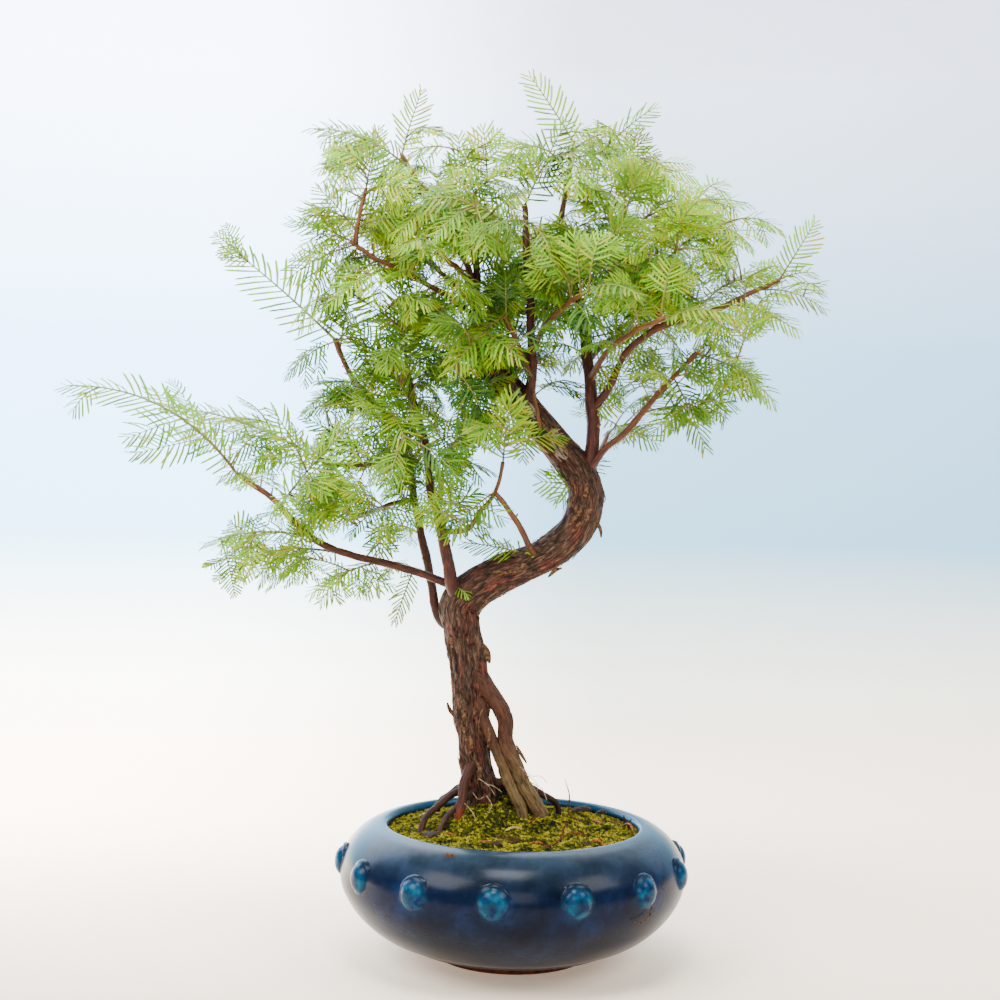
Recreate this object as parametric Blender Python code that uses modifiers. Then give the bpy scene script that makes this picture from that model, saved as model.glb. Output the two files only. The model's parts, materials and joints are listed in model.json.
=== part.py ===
"""Dawn redwood bonsai, informal upright, with its round stoneware drum pot.

All sizes are in millimetres and become metres as each mesh is written. The origin is the middle of
the pot's foot on the table, +Z is up and -Y is the front of the tree.
"""
import itertools
import math
import random

import bmesh
import bpy
from mathutils import Matrix, Vector
from mathutils.bvhtree import BVHTree
from mathutils.geometry import intersect_point_line

MM = 0.001
GAP = 0.3            # clear space where two pieces meet
MODEL_NAME = "dawn_redwood_bonsai"

# Drum pot: a turned wall with a narrow foot, a wide belly and a rim that rolls inwards.
POT_SIDES = 32
FLOOR_TOP = 14.0
POT_FOOT = [(60.5, 8.5), (59.0, 0.0), (0.0, 0.0)]
POT_OUTSIDE = [(97.5, 93.5), (105.5, 91.5), (116.0, 84.5), (124.0, 74.0), (127.0, 62.0), (125.0, 48.0),
               (115.5, 32.5), (100.0, 19.0), (82.0, 11.5)]
POT_INSIDE = [(0.0, FLOOR_TOP), (76.0, FLOOR_TOP), (104.0, 29.0), (117.0, 52.0), (115.5, 68.0),
              (104.0, 82.5), (93.5, 87.0), (93.0, 91.0)]
STUD_COUNT = 14
STUD_TURN = -6.4     # degrees from the front to the first stud
STUD_HEIGHT = 66.0
STUD_WALL = 126.2    # radius of the pot's wall behind a stud
STUD_SIDES = 8
STUD_PROFILE = [(0.0, 5.0), (6.8, 3.6), (10.8, -1.0), (10.8, -4.0), (0.0, -4.0)]

# Drainage: two holes beside the middle of the foot, each with a groove to the foot's edge.
HOLE_X = 38.0
HOLE_RADIUS = 8.0
GROOVE_WIDTH = 11.0
GROOVE_DEPTH = 2.5
MESH_RADIUS = 13.0
MESH_THICK = 1.2
MESH_PITCH = 3.4     # from the middle of a drain mesh to each row of its openings
MESH_OPENING = 5.0
MESH_SIDES = 12

# Soil and the moss on it.
SOIL_TOP = 83.0
SOIL_TOP_RADIUS = 99.0
SOIL_SIDES = 24
MOSS_SIDES = 28
MOSS_RADIUS = 92.2
MOSS_EDGE = 87.5     # height of the moss at the rim
MOSS_MOUND = 19.0    # how far it rises round the trunk
MOUND_SPREAD = 40.0
MOUND_X, MOUND_Y = -8.0, 6.0

# Trunk: (x, y, z, radius) from inside the soil to the cut top.
TRUNK_SIDES = 14
TRUNK = [(-22, 4, 74, 12), (-23, 4, 100, 12.5), (-25, 3, 122, 12), (-29, 2, 138, 11.5),
         (-32, 1, 156, 11.5), (-34, 0, 172, 12.5), (-34, 0, 186, 13.6), (-36, 0, 203, 12.8),
         (-39, 0, 222, 13.2), (-42, 1, 239, 13.8), (-43, 2, 253, 15), (-32, 2, 265, 15), (-15, 1, 275, 13.8),
         (3, -1, 283, 13), (22, -3, 293, 12.6), (38, -5, 306, 12.8), (47, -6, 323, 13), (48, -6, 341, 13),
         (41, -4, 357, 12.6), (30, -2, 370, 11.6), (18, 0, 385, 11), (5, 2, 400, 11), (-8, 4, 415, 11),
         (-19, 6, 428, 10.8), (-28, 8, 440, 9.4), (-33, 8, 448, 6)]
RIDGES = ((5, 0.055, 0.021), (3, 0.045, -0.034))   # lobes round the trunk, depth, turn for each mm

# Surface roots: each route runs from inside the trunk's foot down into the soil.
# name: (route, radius at the trunk, radius at the end)
ROOTS = {
    "outer_strand": ([(-26, -2, 196), (-15, -5, 184), (-8, -7, 170), (-6, -8, 154), (0, -9, 140),
                      (8, -10, 124), (16, -11, 110), (22, -12, 98), (26, -13, 80)], 6.0, 4.6),
    "inner_strand": ([(-28, -6, 182), (-21, -8, 166), (-15, -9, 151), (-8, -10, 136), (-1, -12, 120),
                      (6, -14, 104), (9, -15, 80)], 4.6, 3.8),
    "red_root": ([(-31, -6, 136), (-35, -13, 126), (-38, -19, 114), (-40, -24, 100), (-41, -28, 80)],
                 4.0, 2.6),
    "left_root": ([(-30, -2, 122), (-40, -8, 116), (-52, -13, 110), (-62, -20, 102), (-67, -28, 92),
                   (-69, -33, 79)], 3.2, 2.4),
    "front_left_root": ([(-31, -8, 116), (-40, -18, 109), (-48, -28, 101), (-54, -38, 92),
                         (-57, -44, 79)], 2.8, 2.2),
    "right_root": ([(4, -4, 122), (16, -1, 117), (26, 4, 111), (33, 9, 103), (36, 12, 80)], 3.0, 1.8),
    "back_root": ([(-22, 8, 124), (-16, 22, 114), (-10, 36, 104), (-7, 45, 80)], 4.6, 2.8),
    "back_left_root": ([(-30, 8, 120), (-44, 20, 111), (-56, 31, 101), (-61, 38, 80)], 3.8, 2.4),
}

# Boughs, shoots and woody twigs: name: (route, radius at the start, radius at the end)
BOUGHS = {
    "low_left": ([(-42, 0, 262), (-56, -3, 271), (-89, -9, 281), (-130, -15, 291), (-155, -19, 303),
                  (-177, -23, 326), (-206, -27, 347)], 3.2, 2.0),
    "long_left": ([(-42, 4, 234), (-56, 8, 240), (-63, 10, 254), (-67, 12, 275), (-72, 14, 298),
                   (-81, 18, 336), (-86, 22, 372), (-98, 25, 392), (-126, 29, 420), (-138, 31, 438),
                   (-146, 32, 456)], 3.8, 2.0),
    "red_shoot": ([(-44, -4, 258), (-50, -9, 272), (-54, -11, 292), (-60, -12, 318), (-66, -12, 340),
                   (-71, -11, 374), (-80, -9, 404), (-86, -8, 430)], 5.2, 1.8),
    "shoot_twig": ([(-57, -12, 308), (-40, -16, 309), (-30, -18, 322), (-19, -20, 336), (-13, -22, 360)],
                   2.0, 1.4),
    "stub_twig": ([(16, -4, 286), (8, -16, 297), (-1, -21, 315), (-19, -25, 338)], 2.8, 1.8),
    "mid_left": ([(-85, 21, 366), (-96, 14, 364), (-116, 8, 358), (-144, 4, 356)], 2.2, 1.7),
    "under_left": ([(-80, 17, 332), (-96, 8, 328), (-112, 2, 322), (-128, -2, 316)], 2.0, 1.5),
    "cut_shoot": ([(4, 2, 400), (5, -9, 413), (7, -15, 432), (4, -17, 480), (1, -17, 516), (-1, -17, 552)],
                  4.4, 2.2),
    "cut_shoot_twig": ([(6, -15, 424), (-4, -25, 446), (-15, -33, 466)], 1.9, 1.4),
    "right_shoot": ([(47, -6, 346), (53, -6, 368), (53, -4, 400), (50, -1, 430), (47, 2, 456),
                     (41, 5, 488), (32, 7, 520), (28, 7, 546), (31, 5, 574), (36, 2, 604)], 5.8, 1.5),
    "right_bough": ([(53, -3, 402), (66, -14, 420), (76, -20, 442), (98, -24, 460), (135, -28, 472),
                     (160, -30, 484), (186, -31, 497)], 3.0, 1.6),
    "right_riser": ([(97, -24, 460), (100, -14, 482), (99, -8, 512), (98, -4, 548)], 1.9, 1.4),
    "low_right": ([(50, -8, 356), (62, -12, 371), (78, -19, 385), (93, -24, 404), (110, -28, 424),
                   (126, -30, 442)], 2.8, 1.7),
    "top_shoot": ([(-27, 8, 436), (-34, 7, 462), (-36, 5, 484), (-36, 3, 508), (-41, 1, 530)], 5.0, 1.9),
    "upper_left": ([(-36, 4, 488), (-44, 1, 511), (-58, -2, 531), (-72, -5, 552), (-84, -8, 573),
                    (-94, -10, 590)], 2.6, 1.5),
    "left_back_twig": ([(-35, 6, 476), (-52, 13, 496), (-82, 22, 522), (-94, 26, 533)], 2.2, 1.5),
    "left_front_twig": ([(-35, 6, 470), (-56, -10, 483), (-89, -26, 498), (-110, -32, 506),
                         (-128, -36, 518)], 2.2, 1.5),
    "left_riser": ([(-124, -35, 515), (-122, -37, 532), (-117, -38, 556)], 1.6, 1.3),
    "back_left": ([(-6, 5, 413), (-22, 32, 440), (-36, 62, 456), (-48, 96, 474)], 3.4, 1.6),
    "back_right": ([(49, 1, 440), (62, 30, 455), (78, 60, 469), (98, 88, 482)], 3.0, 1.6),
    "back_riser": ([(-36, 5, 482), (-22, 34, 502), (-6, 62, 524), (6, 84, 544)], 2.4, 1.5),
    "back_low": ([(46, -2, 342), (56, 26, 358), (64, 54, 374), (72, 80, 392)], 3.0, 1.6),
    "left_back": ([(-61, -12, 322), (-60, 14, 342), (-66, 42, 360), (-74, 68, 374)], 2.4, 1.5),
    "front_mid": ([(6, -16, 442), (14, -38, 456), (28, -62, 468), (40, -84, 474)], 2.4, 1.5),
    "front_left": ([(-36, 5, 480), (-42, -28, 492), (-52, -56, 498), (-60, -80, 500)], 2.4, 1.5),
    "front_right": ([(51, -2, 424), (60, -32, 440), (78, -60, 452), (96, -82, 458)], 2.4, 1.5),
}
THIN = 2.4           # a bough no thicker than this at its start has four sides, a thicker one six

# Leafy stems. Each is a slim green rib with two ranks of needles and pairs of side sprays.
# (bough, where it leaves, tip, arch, facing, needle length, pairs of side sprays)
# Arch is how far the middle stands above the straight line. Facing is the turn of the upper side,
# in degrees: 0 looks up, 90 looks to the front, -90 to the back.
LEAFY_STEMS = [
    ("low_left", (-206, -27, 347), (-325, -50, 406), 26, 45, 26, 1),
    ("low_left", (-176, -23, 325), (-114, -40, 392), 4, 60, 20, 2),
    ("low_left", (-155, -19, 303), (-226, -34, 296), 6, 30, 18, 2),
    ("low_left", (-130, -15, 291), (-222, 4, 274), 10, 20, 16, 2),
    ("low_left", (-104, -11, 285), (-146, -52, 262), 4, 30, 16, 1),
    ("low_left", (-79, -6, 278), (-90, -14, 242), 2, 80, 13, 0),
    ("low_left", (-190, -25, 336), (-200, 34, 352), 5, -30, 19, 1),
    ("long_left", (-146, 32, 456), (-230, 40, 527), 4, 60, 30, 0),
    ("long_left", (-142, 32, 447), (-130, 22, 514), 3, 88, 27, 0),
    ("long_left", (-132, 30, 430), (-82, 8, 452), 4, 40, 18, 2),
    ("long_left", (-98, 25, 392), (-132, 76, 412), 5, -20, 20, 2),
    ("long_left", (-74, 15, 306), (-114, 64, 310), 5, -10, 18, 1),
    ("mid_left", (-144, 4, 356), (-266, 6, 398), 10, 35, 22, 2),
    ("mid_left", (-118, 8, 358), (-156, -30, 388), 4, 55, 16, 1),
    ("under_left", (-128, -2, 316), (-198, 12, 318), 6, 30, 16, 1),
    ("under_left", (-100, 7, 327), (-122, -40, 304), 5, 40, 14, 0),
    ("red_shoot", (-86, -8, 430), (-94, -26, 496), 3, 70, 18, 1),
    ("red_shoot", (-79, -9, 402), (-128, -36, 450), 4, 45, 18, 2),
    ("red_shoot", (-72, -11, 376), (-118, -50, 400), 4, 40, 18, 2),
    ("red_shoot", (-69, -11, 356), (-34, -58, 374), 4, 55, 19, 2),
    ("shoot_twig", (-13, -22, 360), (-8, -60, 404), 4, 60, 19, 2),
    ("stub_twig", (-19, -25, 338), (-52, -50, 304), 5, 60, 18, 0),
    ("cut_shoot_twig", (-15, -33, 466), (-52, -64, 420), 5, 60, 21, 2),
    ("cut_shoot", (-1, -17, 552), (28, -24, 612), 4, 80, 20, 1),
    ("cut_shoot", (1, -17, 520), (-40, -66, 538), 5, 50, 22, 2),
    ("cut_shoot", (3, -17, 490), (68, -58, 500), 6, 35, 23, 2),
    ("right_shoot", (36, 2, 604), (2, -4, 652), 3, 85, 21, 0),
    ("right_shoot", (34, 3, 594), (90, -8, 590), 5, 60, 21, 1),
    ("right_shoot", (31, 6, 568), (82, 42, 572), 6, 30, 22, 2),
    ("right_shoot", (29, 7, 536), (92, -26, 540), 8, 40, 22, 2),
    ("right_bough", (186, -31, 497), (210, -34, 538), 4, 85, 17, 0),
    ("right_bough", (172, -30, 490), (214, -46, 474), 5, 45, 18, 0),
    ("right_bough", (148, -29, 478), (190, -68, 454), 5, 50, 18, 1),
    ("right_bough", (120, -27, 468), (180, 14, 514), 6, 20, 21, 2),
    ("right_riser", (98, -4, 548), (166, -10, 558), 8, 40, 19, 2),
    ("right_riser", (99, -9, 506), (142, -60, 530), 6, 45, 19, 1),
    ("low_right", (126, -30, 442), (182, -38, 406), 8, 50, 20, 1),
    ("low_right", (110, -28, 424), (130, -50, 372), 4, 80, 19, 1),
    ("low_right", (88, -23, 398), (146, 22, 404), 5, 10, 20, 2),
    ("top_shoot", (-41, 1, 530), (-52, 2, 606), 4, 85, 20, 2),
    ("upper_left", (-94, -10, 590), (-80, -14, 636), 3, 85, 17, 0),
    ("upper_left", (-88, -9, 580), (-160, -22, 604), 10, 55, 18, 2),
    ("left_back_twig", (-94, 26, 533), (-156, 64, 560), 6, 10, 21, 2),
    ("left_front_twig", (-128, -36, 518), (-170, -40, 530), 3, 50, 17, 0),
    ("left_front_twig", (-96, -28, 501), (-134, -74, 466), 6, 50, 19, 1),
    ("left_riser", (-117, -38, 556), (-108, -46, 596), 2, 80, 15, 0),
    ("back_left", (-48, 96, 474), (-88, 140, 480), 6, -25, 21, 2),
    ("back_right", (98, 88, 482), (150, 124, 486), 6, -25, 21, 2),
    ("back_riser", (6, 84, 544), (18, 136, 568), 6, -40, 21, 2),
    ("back_low", (72, 80, 392), (104, 132, 398), 6, -30, 20, 2),
    ("left_back", (-74, 68, 374), (-102, 124, 378), 6, -25, 20, 1),
    ("front_mid", (40, -84, 474), (72, -134, 464), 6, 35, 21, 2),
    ("front_left", (-60, -80, 500), (-78, -134, 494), 6, 35, 21, 2),
    ("front_right", (96, -82, 458), (142, -120, 452), 6, 35, 20, 2),
]
# Forks of the leafy stems: (number of the stem, share along it, tip, facing, needle length, pairs of side
# sprays). Each is a spray of its own that leaves the stem's rib and fills the crown beside it.
FORKS = [
    (2, 0.35, (-176, -58, 390), 50, 18, 1),
    (3, 0.5, (-196, -52, 272), 30, 16, 0),
    (5, 0.4, (-162, -18, 286), 30, 15, 0),
    (10, 0.45, (-98, -34, 472), 45, 18, 1),
    (11, 0.4, (-90, 72, 436), 10, 19, 1),
    (13, 0.35, (-198, -42, 398), 45, 19, 1),
    (13, 0.5, (-238, 50, 392), 15, 19, 0),
    (14, 0.4, (-116, -40, 382), 50, 17, 0),
    (15, 0.4, (-168, -36, 332), 35, 15, 0),
    (16, 0.4, (-92, -40, 320), 40, 15, 0),
    (17, 0.4, (-130, -42, 478), 50, 18, 0),
    (18, 0.4, (-80, -62, 448), 50, 18, 1),
    (19, 0.24, (-108, -4, 362), 50, 18, 0),
    (19, 0.5, (-82, -60, 370), 50, 18, 0),
    (20, 0.45, (-74, -58, 392), 50, 18, 0),
    (21, 0.24, (28, -24, 380), 50, 18, 0),
    (22, 0.4, (-14, -52, 318), 50, 17, 0),
    (23, 0.24, (-58, -32, 456), 50, 18, 0),
    (23, 0.4, (-4, -70, 430), 50, 19, 1),
    (24, 0.4, (34, -56, 580), 60, 19, 0),
    (25, 0.4, (-76, -42, 556), 50, 20, 1),
    (25, 0.4, (6, -74, 522), 45, 19, 1),
    (26, 0.24, (22, -54, 450), 40, 19, 1),
    (26, 0.6, (74, -46, 540), 45, 19, 0),
    (28, 0.4, (92, -22, 624), 60, 18, 0),
    (29, 0.35, (50, 62, 588), 15, 20, 1),
    (30, 0.5, (86, -40, 506), 50, 19, 1),
    (30, 0.24, (86, 42, 524), 20, 19, 0),
    (34, 0.24, (142, 46, 472), 15, 18, 0),
    (34, 0.5, (180, -26, 500), 40, 18, 0),
    (35, 0.4, (136, -48, 534), 45, 18, 1),
    (36, 0.4, (102, -74, 500), 45, 18, 0),
    (37, 0.4, (150, -70, 432), 45, 18, 0),
    (38, 0.4, (94, -54, 382), 60, 17, 0),
    (39, 0.4, (102, 34, 434), 20, 19, 1),
    (40, 0.35, (-98, -14, 568), 50, 19, 1),
    (40, 0.35, (-2, -28, 586), 50, 19, 1),
    (42, 0.35, (-148, -48, 566), 40, 18, 0),
    (43, 0.24, (-112, 88, 518), 0, 19, 0),
    (44, 0.4, (-152, -66, 500), 50, 17, 0),
    (47, 0.35, (-12, 134, 470), -20, 19, 1),
    (47, 0.5, (-96, 92, 508), -10, 19, 0),
    (48, 0.3, (76, 132, 462), -20, 19, 1),
    (48, 0.5, (142, 76, 514), -10, 19, 0),
    (49, 0.3, (62, 112, 536), -25, 20, 1),
    (49, 0.3, (-40, 108, 540), -25, 20, 1),
    (50, 0.35, (50, 124, 412), -20, 19, 0),
    (50, 0.5, (124, 88, 428), -10, 19, 0),
    (51, 0.4, (-58, 118, 404), -20, 18, 1),
]
FORK_ARCH = 3.0
STEP = 7.2           # distance between the needles of one rank
RIB_HALF = 0.9       # half the rib's width
RIB_DEEP = 1.5       # depth of the rib below its upper side
SIDE_ANGLE = 50      # degrees between a side spray and its stem
SIDE_DIP = 24        # degrees by which a side spray hangs below the stem
SIDE_NEEDLE = 0.62   # needle length of a side spray as a share of its stem's
NEEDLE_WIDE, NEEDLE_NARROW = 68, 30   # degrees from the rib at the foot and at the tip
BEND_STEPS = (0, 9, -9, 18, -18, 27, -27, 36, -36)
BENDS = sorted(itertools.product(BEND_STEPS, repeat=3), key=lambda bend: sum(turn * turn for turn in bend))


def material(name, colour, roughness, metallic=0.0):
    """A plain surface; the colour is sRGB hex."""
    made = bpy.data.materials.new(name)
    made.use_nodes = True
    shader = made.node_tree.nodes["Principled BSDF"]
    channels = [int(colour[i:i + 2], 16) / 255 for i in (0, 2, 4)]
    linear = [c / 12.92 if c <= 0.04045 else ((c + 0.055) / 1.055) ** 2.4 for c in channels]
    shader.inputs["Base Color"].default_value = (*linear, 1.0)
    shader.inputs["Roughness"].default_value = roughness
    shader.inputs["Metallic"].default_value = metallic
    made.diffuse_color = (*linear, 1.0)
    return made


def collection(name):
    made = bpy.data.collections.new(name)
    bpy.context.scene.collection.children.link(made)
    return made


def add_object(name, data, group):
    obj = bpy.data.objects.new(name, data)
    group.objects.link(obj)
    return obj


def as_mesh(obj, weld=True):
    """Replace a curve, or a mesh with modifiers, by the plain mesh that it shows."""
    group = obj.users_collection[0]
    depsgraph = bpy.context.evaluated_depsgraph_get()
    depsgraph.update()
    mesh = bpy.data.meshes.new_from_object(obj.evaluated_get(depsgraph))
    name, place = obj.name, obj.matrix_world.copy()
    bpy.data.objects.remove(obj)
    if weld:
        welded = bmesh.new()
        welded.from_mesh(mesh)
        bmesh.ops.remove_doubles(welded, verts=welded.verts, dist=0.00001)
        welded.to_mesh(mesh)
        welded.free()
    plain = add_object(name, mesh, group)
    plain.matrix_world = place
    return plain


def turned(name, profile, steps, group):
    """Turn a profile, given as (radius, height) from the top down its outer side, about Z."""
    mesh = bpy.data.meshes.new(name)
    points = [(radius * MM, 0, height * MM) for radius, height in profile]
    mesh.from_pydata(points, [(i, i + 1) for i in range(len(points) - 1)], [])
    obj = add_object(name, mesh, group)
    screw = obj.modifiers.new("Turn", "SCREW")
    screw.steps = steps
    screw.render_steps = steps
    screw.use_merge_vertices = True
    screw.merge_threshold = 0.00001
    return obj


def tube(name, route, start_radius, end_radius, resolution, group):
    """A round stem along a route, tapering evenly, with closed ends."""
    curve = bpy.data.curves.new(name, "CURVE")
    curve.dimensions = "3D"
    curve.bevel_depth = MM
    curve.bevel_resolution = resolution
    curve.use_fill_caps = True
    spline = curve.splines.new("POLY")
    spline.points.add(len(route) - 1)
    for i, (point, place) in enumerate(zip(spline.points, route)):
        point.co = (*(value * MM for value in place), 1)
        point.radius = start_radius + (end_radius - start_radius) * i / (len(route) - 1)
    return as_mesh(add_object(name, curve, group))


def combine(obj, group, operation, solver="EXACT"):
    """Join the group's objects to one object, or cut them from it, and drop them when joined."""
    change = obj.modifiers.new(operation.title(), "BOOLEAN")
    change.operation = operation
    change.operand_type = "COLLECTION"
    change.collection = group
    change.solver = solver
    done = as_mesh(obj, weld=False)
    for used in list(group.objects):
        bpy.data.objects.remove(used)
    bpy.data.collections.remove(group)
    return done


def finish(obj, surface, angle=40):
    obj.data.materials.clear()
    obj.data.materials.append(surface)
    obj.data.shade_smooth()
    obj.data.set_sharp_from_angle(angle=math.radians(angle))
    return obj


def cutter(obj):
    obj.hide_render = True
    obj.display_type = "WIRE"
    return obj


def make_pot(parts, surface):
    profile = POT_INSIDE + POT_OUTSIDE + POT_FOOT
    pot = as_mesh(turned("pot", profile, POT_SIDES, parts))
    studs = collection("studs")
    for i in range(STUD_COUNT):
        stud = turned(f"stud_{i}", STUD_PROFILE, STUD_SIDES, studs)
        stud = as_mesh(stud)
        turn = Matrix.Rotation(math.radians(STUD_TURN + 360 * i / STUD_COUNT), 4, "Z")
        out = Matrix.Rotation(math.radians(90), 4, "X")
        place = Matrix.Translation((0, -STUD_WALL * MM, STUD_HEIGHT * MM))
        stud.data.transform(turn @ place @ out)
    pot = combine(pot, studs, "UNION")
    drains = collection("drains")
    for side in (-1, 1):
        hole = turned(f"hole_{side}", [(0, FLOOR_TOP + 5), (HOLE_RADIUS, FLOOR_TOP + 5), (HOLE_RADIUS, -5),
                                       (0, -5)], MESH_SIDES, drains)
        hole = as_mesh(hole)
        hole.data.transform(Matrix.Translation((side * HOLE_X * MM, 0, 0)))
        cutter(hole)
        reach = 40.0
        groove = bmesh.new()
        bmesh.ops.create_cube(groove, size=MM)
        size = Matrix.Diagonal((reach, GROOVE_WIDTH, 2 * GROOVE_DEPTH, 1))
        shift = Matrix.Translation((side * (HOLE_X + reach / 2) * MM, 0, 0))
        groove.transform(shift @ size)
        mesh = bpy.data.meshes.new(f"groove_{side}")
        groove.to_mesh(mesh)
        groove.free()
        cutter(add_object(f"groove_{side}", mesh, drains))
    return finish(combine(pot, drains, "DIFFERENCE"), surface)


def make_drain_mesh(name, side, parts, surface):
    """A round plastic mesh that lies over a drain hole and keeps the soil in."""
    top = FLOOR_TOP + GAP + MESH_THICK
    disc = as_mesh(turned(name, [(0, top), (MESH_RADIUS, top), (MESH_RADIUS, FLOOR_TOP + GAP),
                                 (0, FLOOR_TOP + GAP)], MESH_SIDES, parts))
    openings = collection(f"{name}_openings")
    for across, along in itertools.product((-1, 1), repeat=2):
        opening = bmesh.new()
        bmesh.ops.create_cube(opening, size=MM)
        size = Matrix.Diagonal((MESH_OPENING, MESH_OPENING, 4 * MESH_THICK, 1))
        place = Matrix.Translation((across * MESH_PITCH * MM, along * MESH_PITCH * MM, top * MM))
        opening.transform(place @ size)
        mesh = bpy.data.meshes.new("opening")
        opening.to_mesh(mesh)
        opening.free()
        cutter(add_object("opening", mesh, openings))
    disc = combine(disc, openings, "DIFFERENCE")
    disc.data.transform(Matrix.Translation((side * HOLE_X * MM, 0, 0)))
    return finish(disc, surface)


def frames_along(route):
    """A tangent and two cross directions at each point, turned as little as possible."""
    points = [Vector(place) for place in route]
    across = Vector((1, 0, 0))
    frames = []
    for i, point in enumerate(points):
        before, after = points[max(i - 1, 0)], points[min(i + 1, len(points) - 1)]
        tangent = (after - before).normalized()
        across = (across - tangent * across.dot(tangent)).normalized()
        frames.append((point, tangent, across, tangent.cross(across)))
    return frames


def make_trunk(name, extra, group):
    """Loft the trunk with low lobes that wind up it; extra widens it for a cutter."""
    made = bmesh.new()
    rings = []
    height = 0.0
    last = None
    for (point, tangent, across, upward), row in zip(frames_along([row[:3] for row in TRUNK]), TRUNK):
        height += (point - last).length if last else 0.0
        last = point
        ring = []
        for k in range(TRUNK_SIDES):
            angle = math.tau * k / TRUNK_SIDES
            lobes = sum(depth * math.sin(count * angle + turn * height) for count, depth, turn in RIDGES)
            radius = row[3] * (1 + lobes) + extra
            offset = across * math.cos(angle) + upward * math.sin(angle)
            ring.append(made.verts.new((point + offset * radius) * MM))
        rings.append(ring)
    for low, high in itertools.pairwise(rings):
        for k in range(TRUNK_SIDES):
            j = (k + 1) % TRUNK_SIDES
            made.faces.new((low[k], low[j], high[j], high[k]))
    made.faces.new(reversed(rings[0]))
    made.faces.new(rings[-1])
    mesh = bpy.data.meshes.new(name)
    made.to_mesh(mesh)
    made.free()
    return add_object(name, mesh, group)


def make_tree(parts, surface):
    tree = make_trunk("tree", 0.0, parts)
    wood = collection("wood")
    for name, (route, start, end) in {**ROOTS, **BOUGHS}.items():
        tube(name, route, start, end, 0 if start <= THIN else 1, wood)
    return finish(combine(tree, wood, "UNION", "MANIFOLD"), surface, 60)


def root_cutters(group):
    """The trunk's foot and the roots, wider by the gap, to make their holes in moss and soil."""
    cutter(make_trunk("trunk_hole", 1.1 * GAP, group))
    for name, (route, start, end) in ROOTS.items():
        x, y, z = route[-1]
        deeper = route[:-1] + [(x, y, z - 2 * GAP)]
        cutter(tube(f"{name}_hole", deeper, start + 1.4 * GAP, end + 1.4 * GAP, 0 if start <= THIN else 1,
                    group))


def moss_height(x, y):
    """Height of the moss: level with the rim at the edge, raised round the trunk and softly uneven."""
    away = math.hypot(x - MOUND_X, (y - MOUND_Y) * 1.15)
    mound = MOSS_MOUND * math.exp(-(away / MOUND_SPREAD) ** 2)
    swell = math.sin(x * 0.11 + 0.6) * math.cos(y * 0.13 - 0.4) + 0.6 * math.sin(x * 0.21 - y * 0.17)
    inward = 1 - (math.hypot(x, y) / MOSS_RADIUS) ** 4
    return MOSS_EDGE + inward * (2.5 + mound + 1.2 * swell)


def make_moss(parts, surface):
    rings = [0.0, 14.0, 26.0, 38.0, 50.0, 62.0, 74.0, 85.0, MOSS_RADIUS]
    bottom = SOIL_TOP + GAP
    profile = [(radius, MOSS_EDGE) for radius in rings] + [(MOSS_RADIUS, bottom), (0, bottom)]
    moss = as_mesh(turned("moss", profile, MOSS_SIDES, parts))
    for vert in moss.data.vertices:
        if vert.co.z > (MOSS_EDGE - 1) * MM:
            vert.co.z = moss_height(vert.co.x / MM, vert.co.y / MM) * MM
    holes = collection("moss_holes")
    root_cutters(holes)
    return finish(combine(moss, holes, "DIFFERENCE"), surface, 50)


def make_soil(parts, surface):
    """Soil fills the pot inside its wall and over its floor, and keeps clear of the drain meshes."""
    flats = math.cos(math.pi / POT_SIDES)
    wall = [(radius * flats - 1.1 * GAP, height) for radius, height in POT_INSIDE[1:6]]
    foot = (wall[0][0], FLOOR_TOP + GAP)
    profile = [(0, SOIL_TOP), (SOIL_TOP_RADIUS, SOIL_TOP)] + wall[:0:-1] + [foot, (0, FLOOR_TOP + GAP)]
    soil = as_mesh(turned("soil", profile, SOIL_SIDES, parts))
    holes = collection("soil_holes")
    root_cutters(holes)
    for side in (-1, 1):
        clear = as_mesh(turned(f"mesh_room_{side}", [(0, FLOOR_TOP + 2 * GAP + MESH_THICK),
                                                     (MESH_RADIUS + GAP, FLOOR_TOP + 2 * GAP + MESH_THICK),
                                                     (MESH_RADIUS + GAP, FLOOR_TOP - 1), (0, FLOOR_TOP - 1)],
                               MESH_SIDES, holes))
        clear.data.transform(Matrix.Translation((side * HOLE_X * MM, 0, 0)))
        cutter(clear)
    return finish(combine(soil, holes, "DIFFERENCE"), surface)


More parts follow.
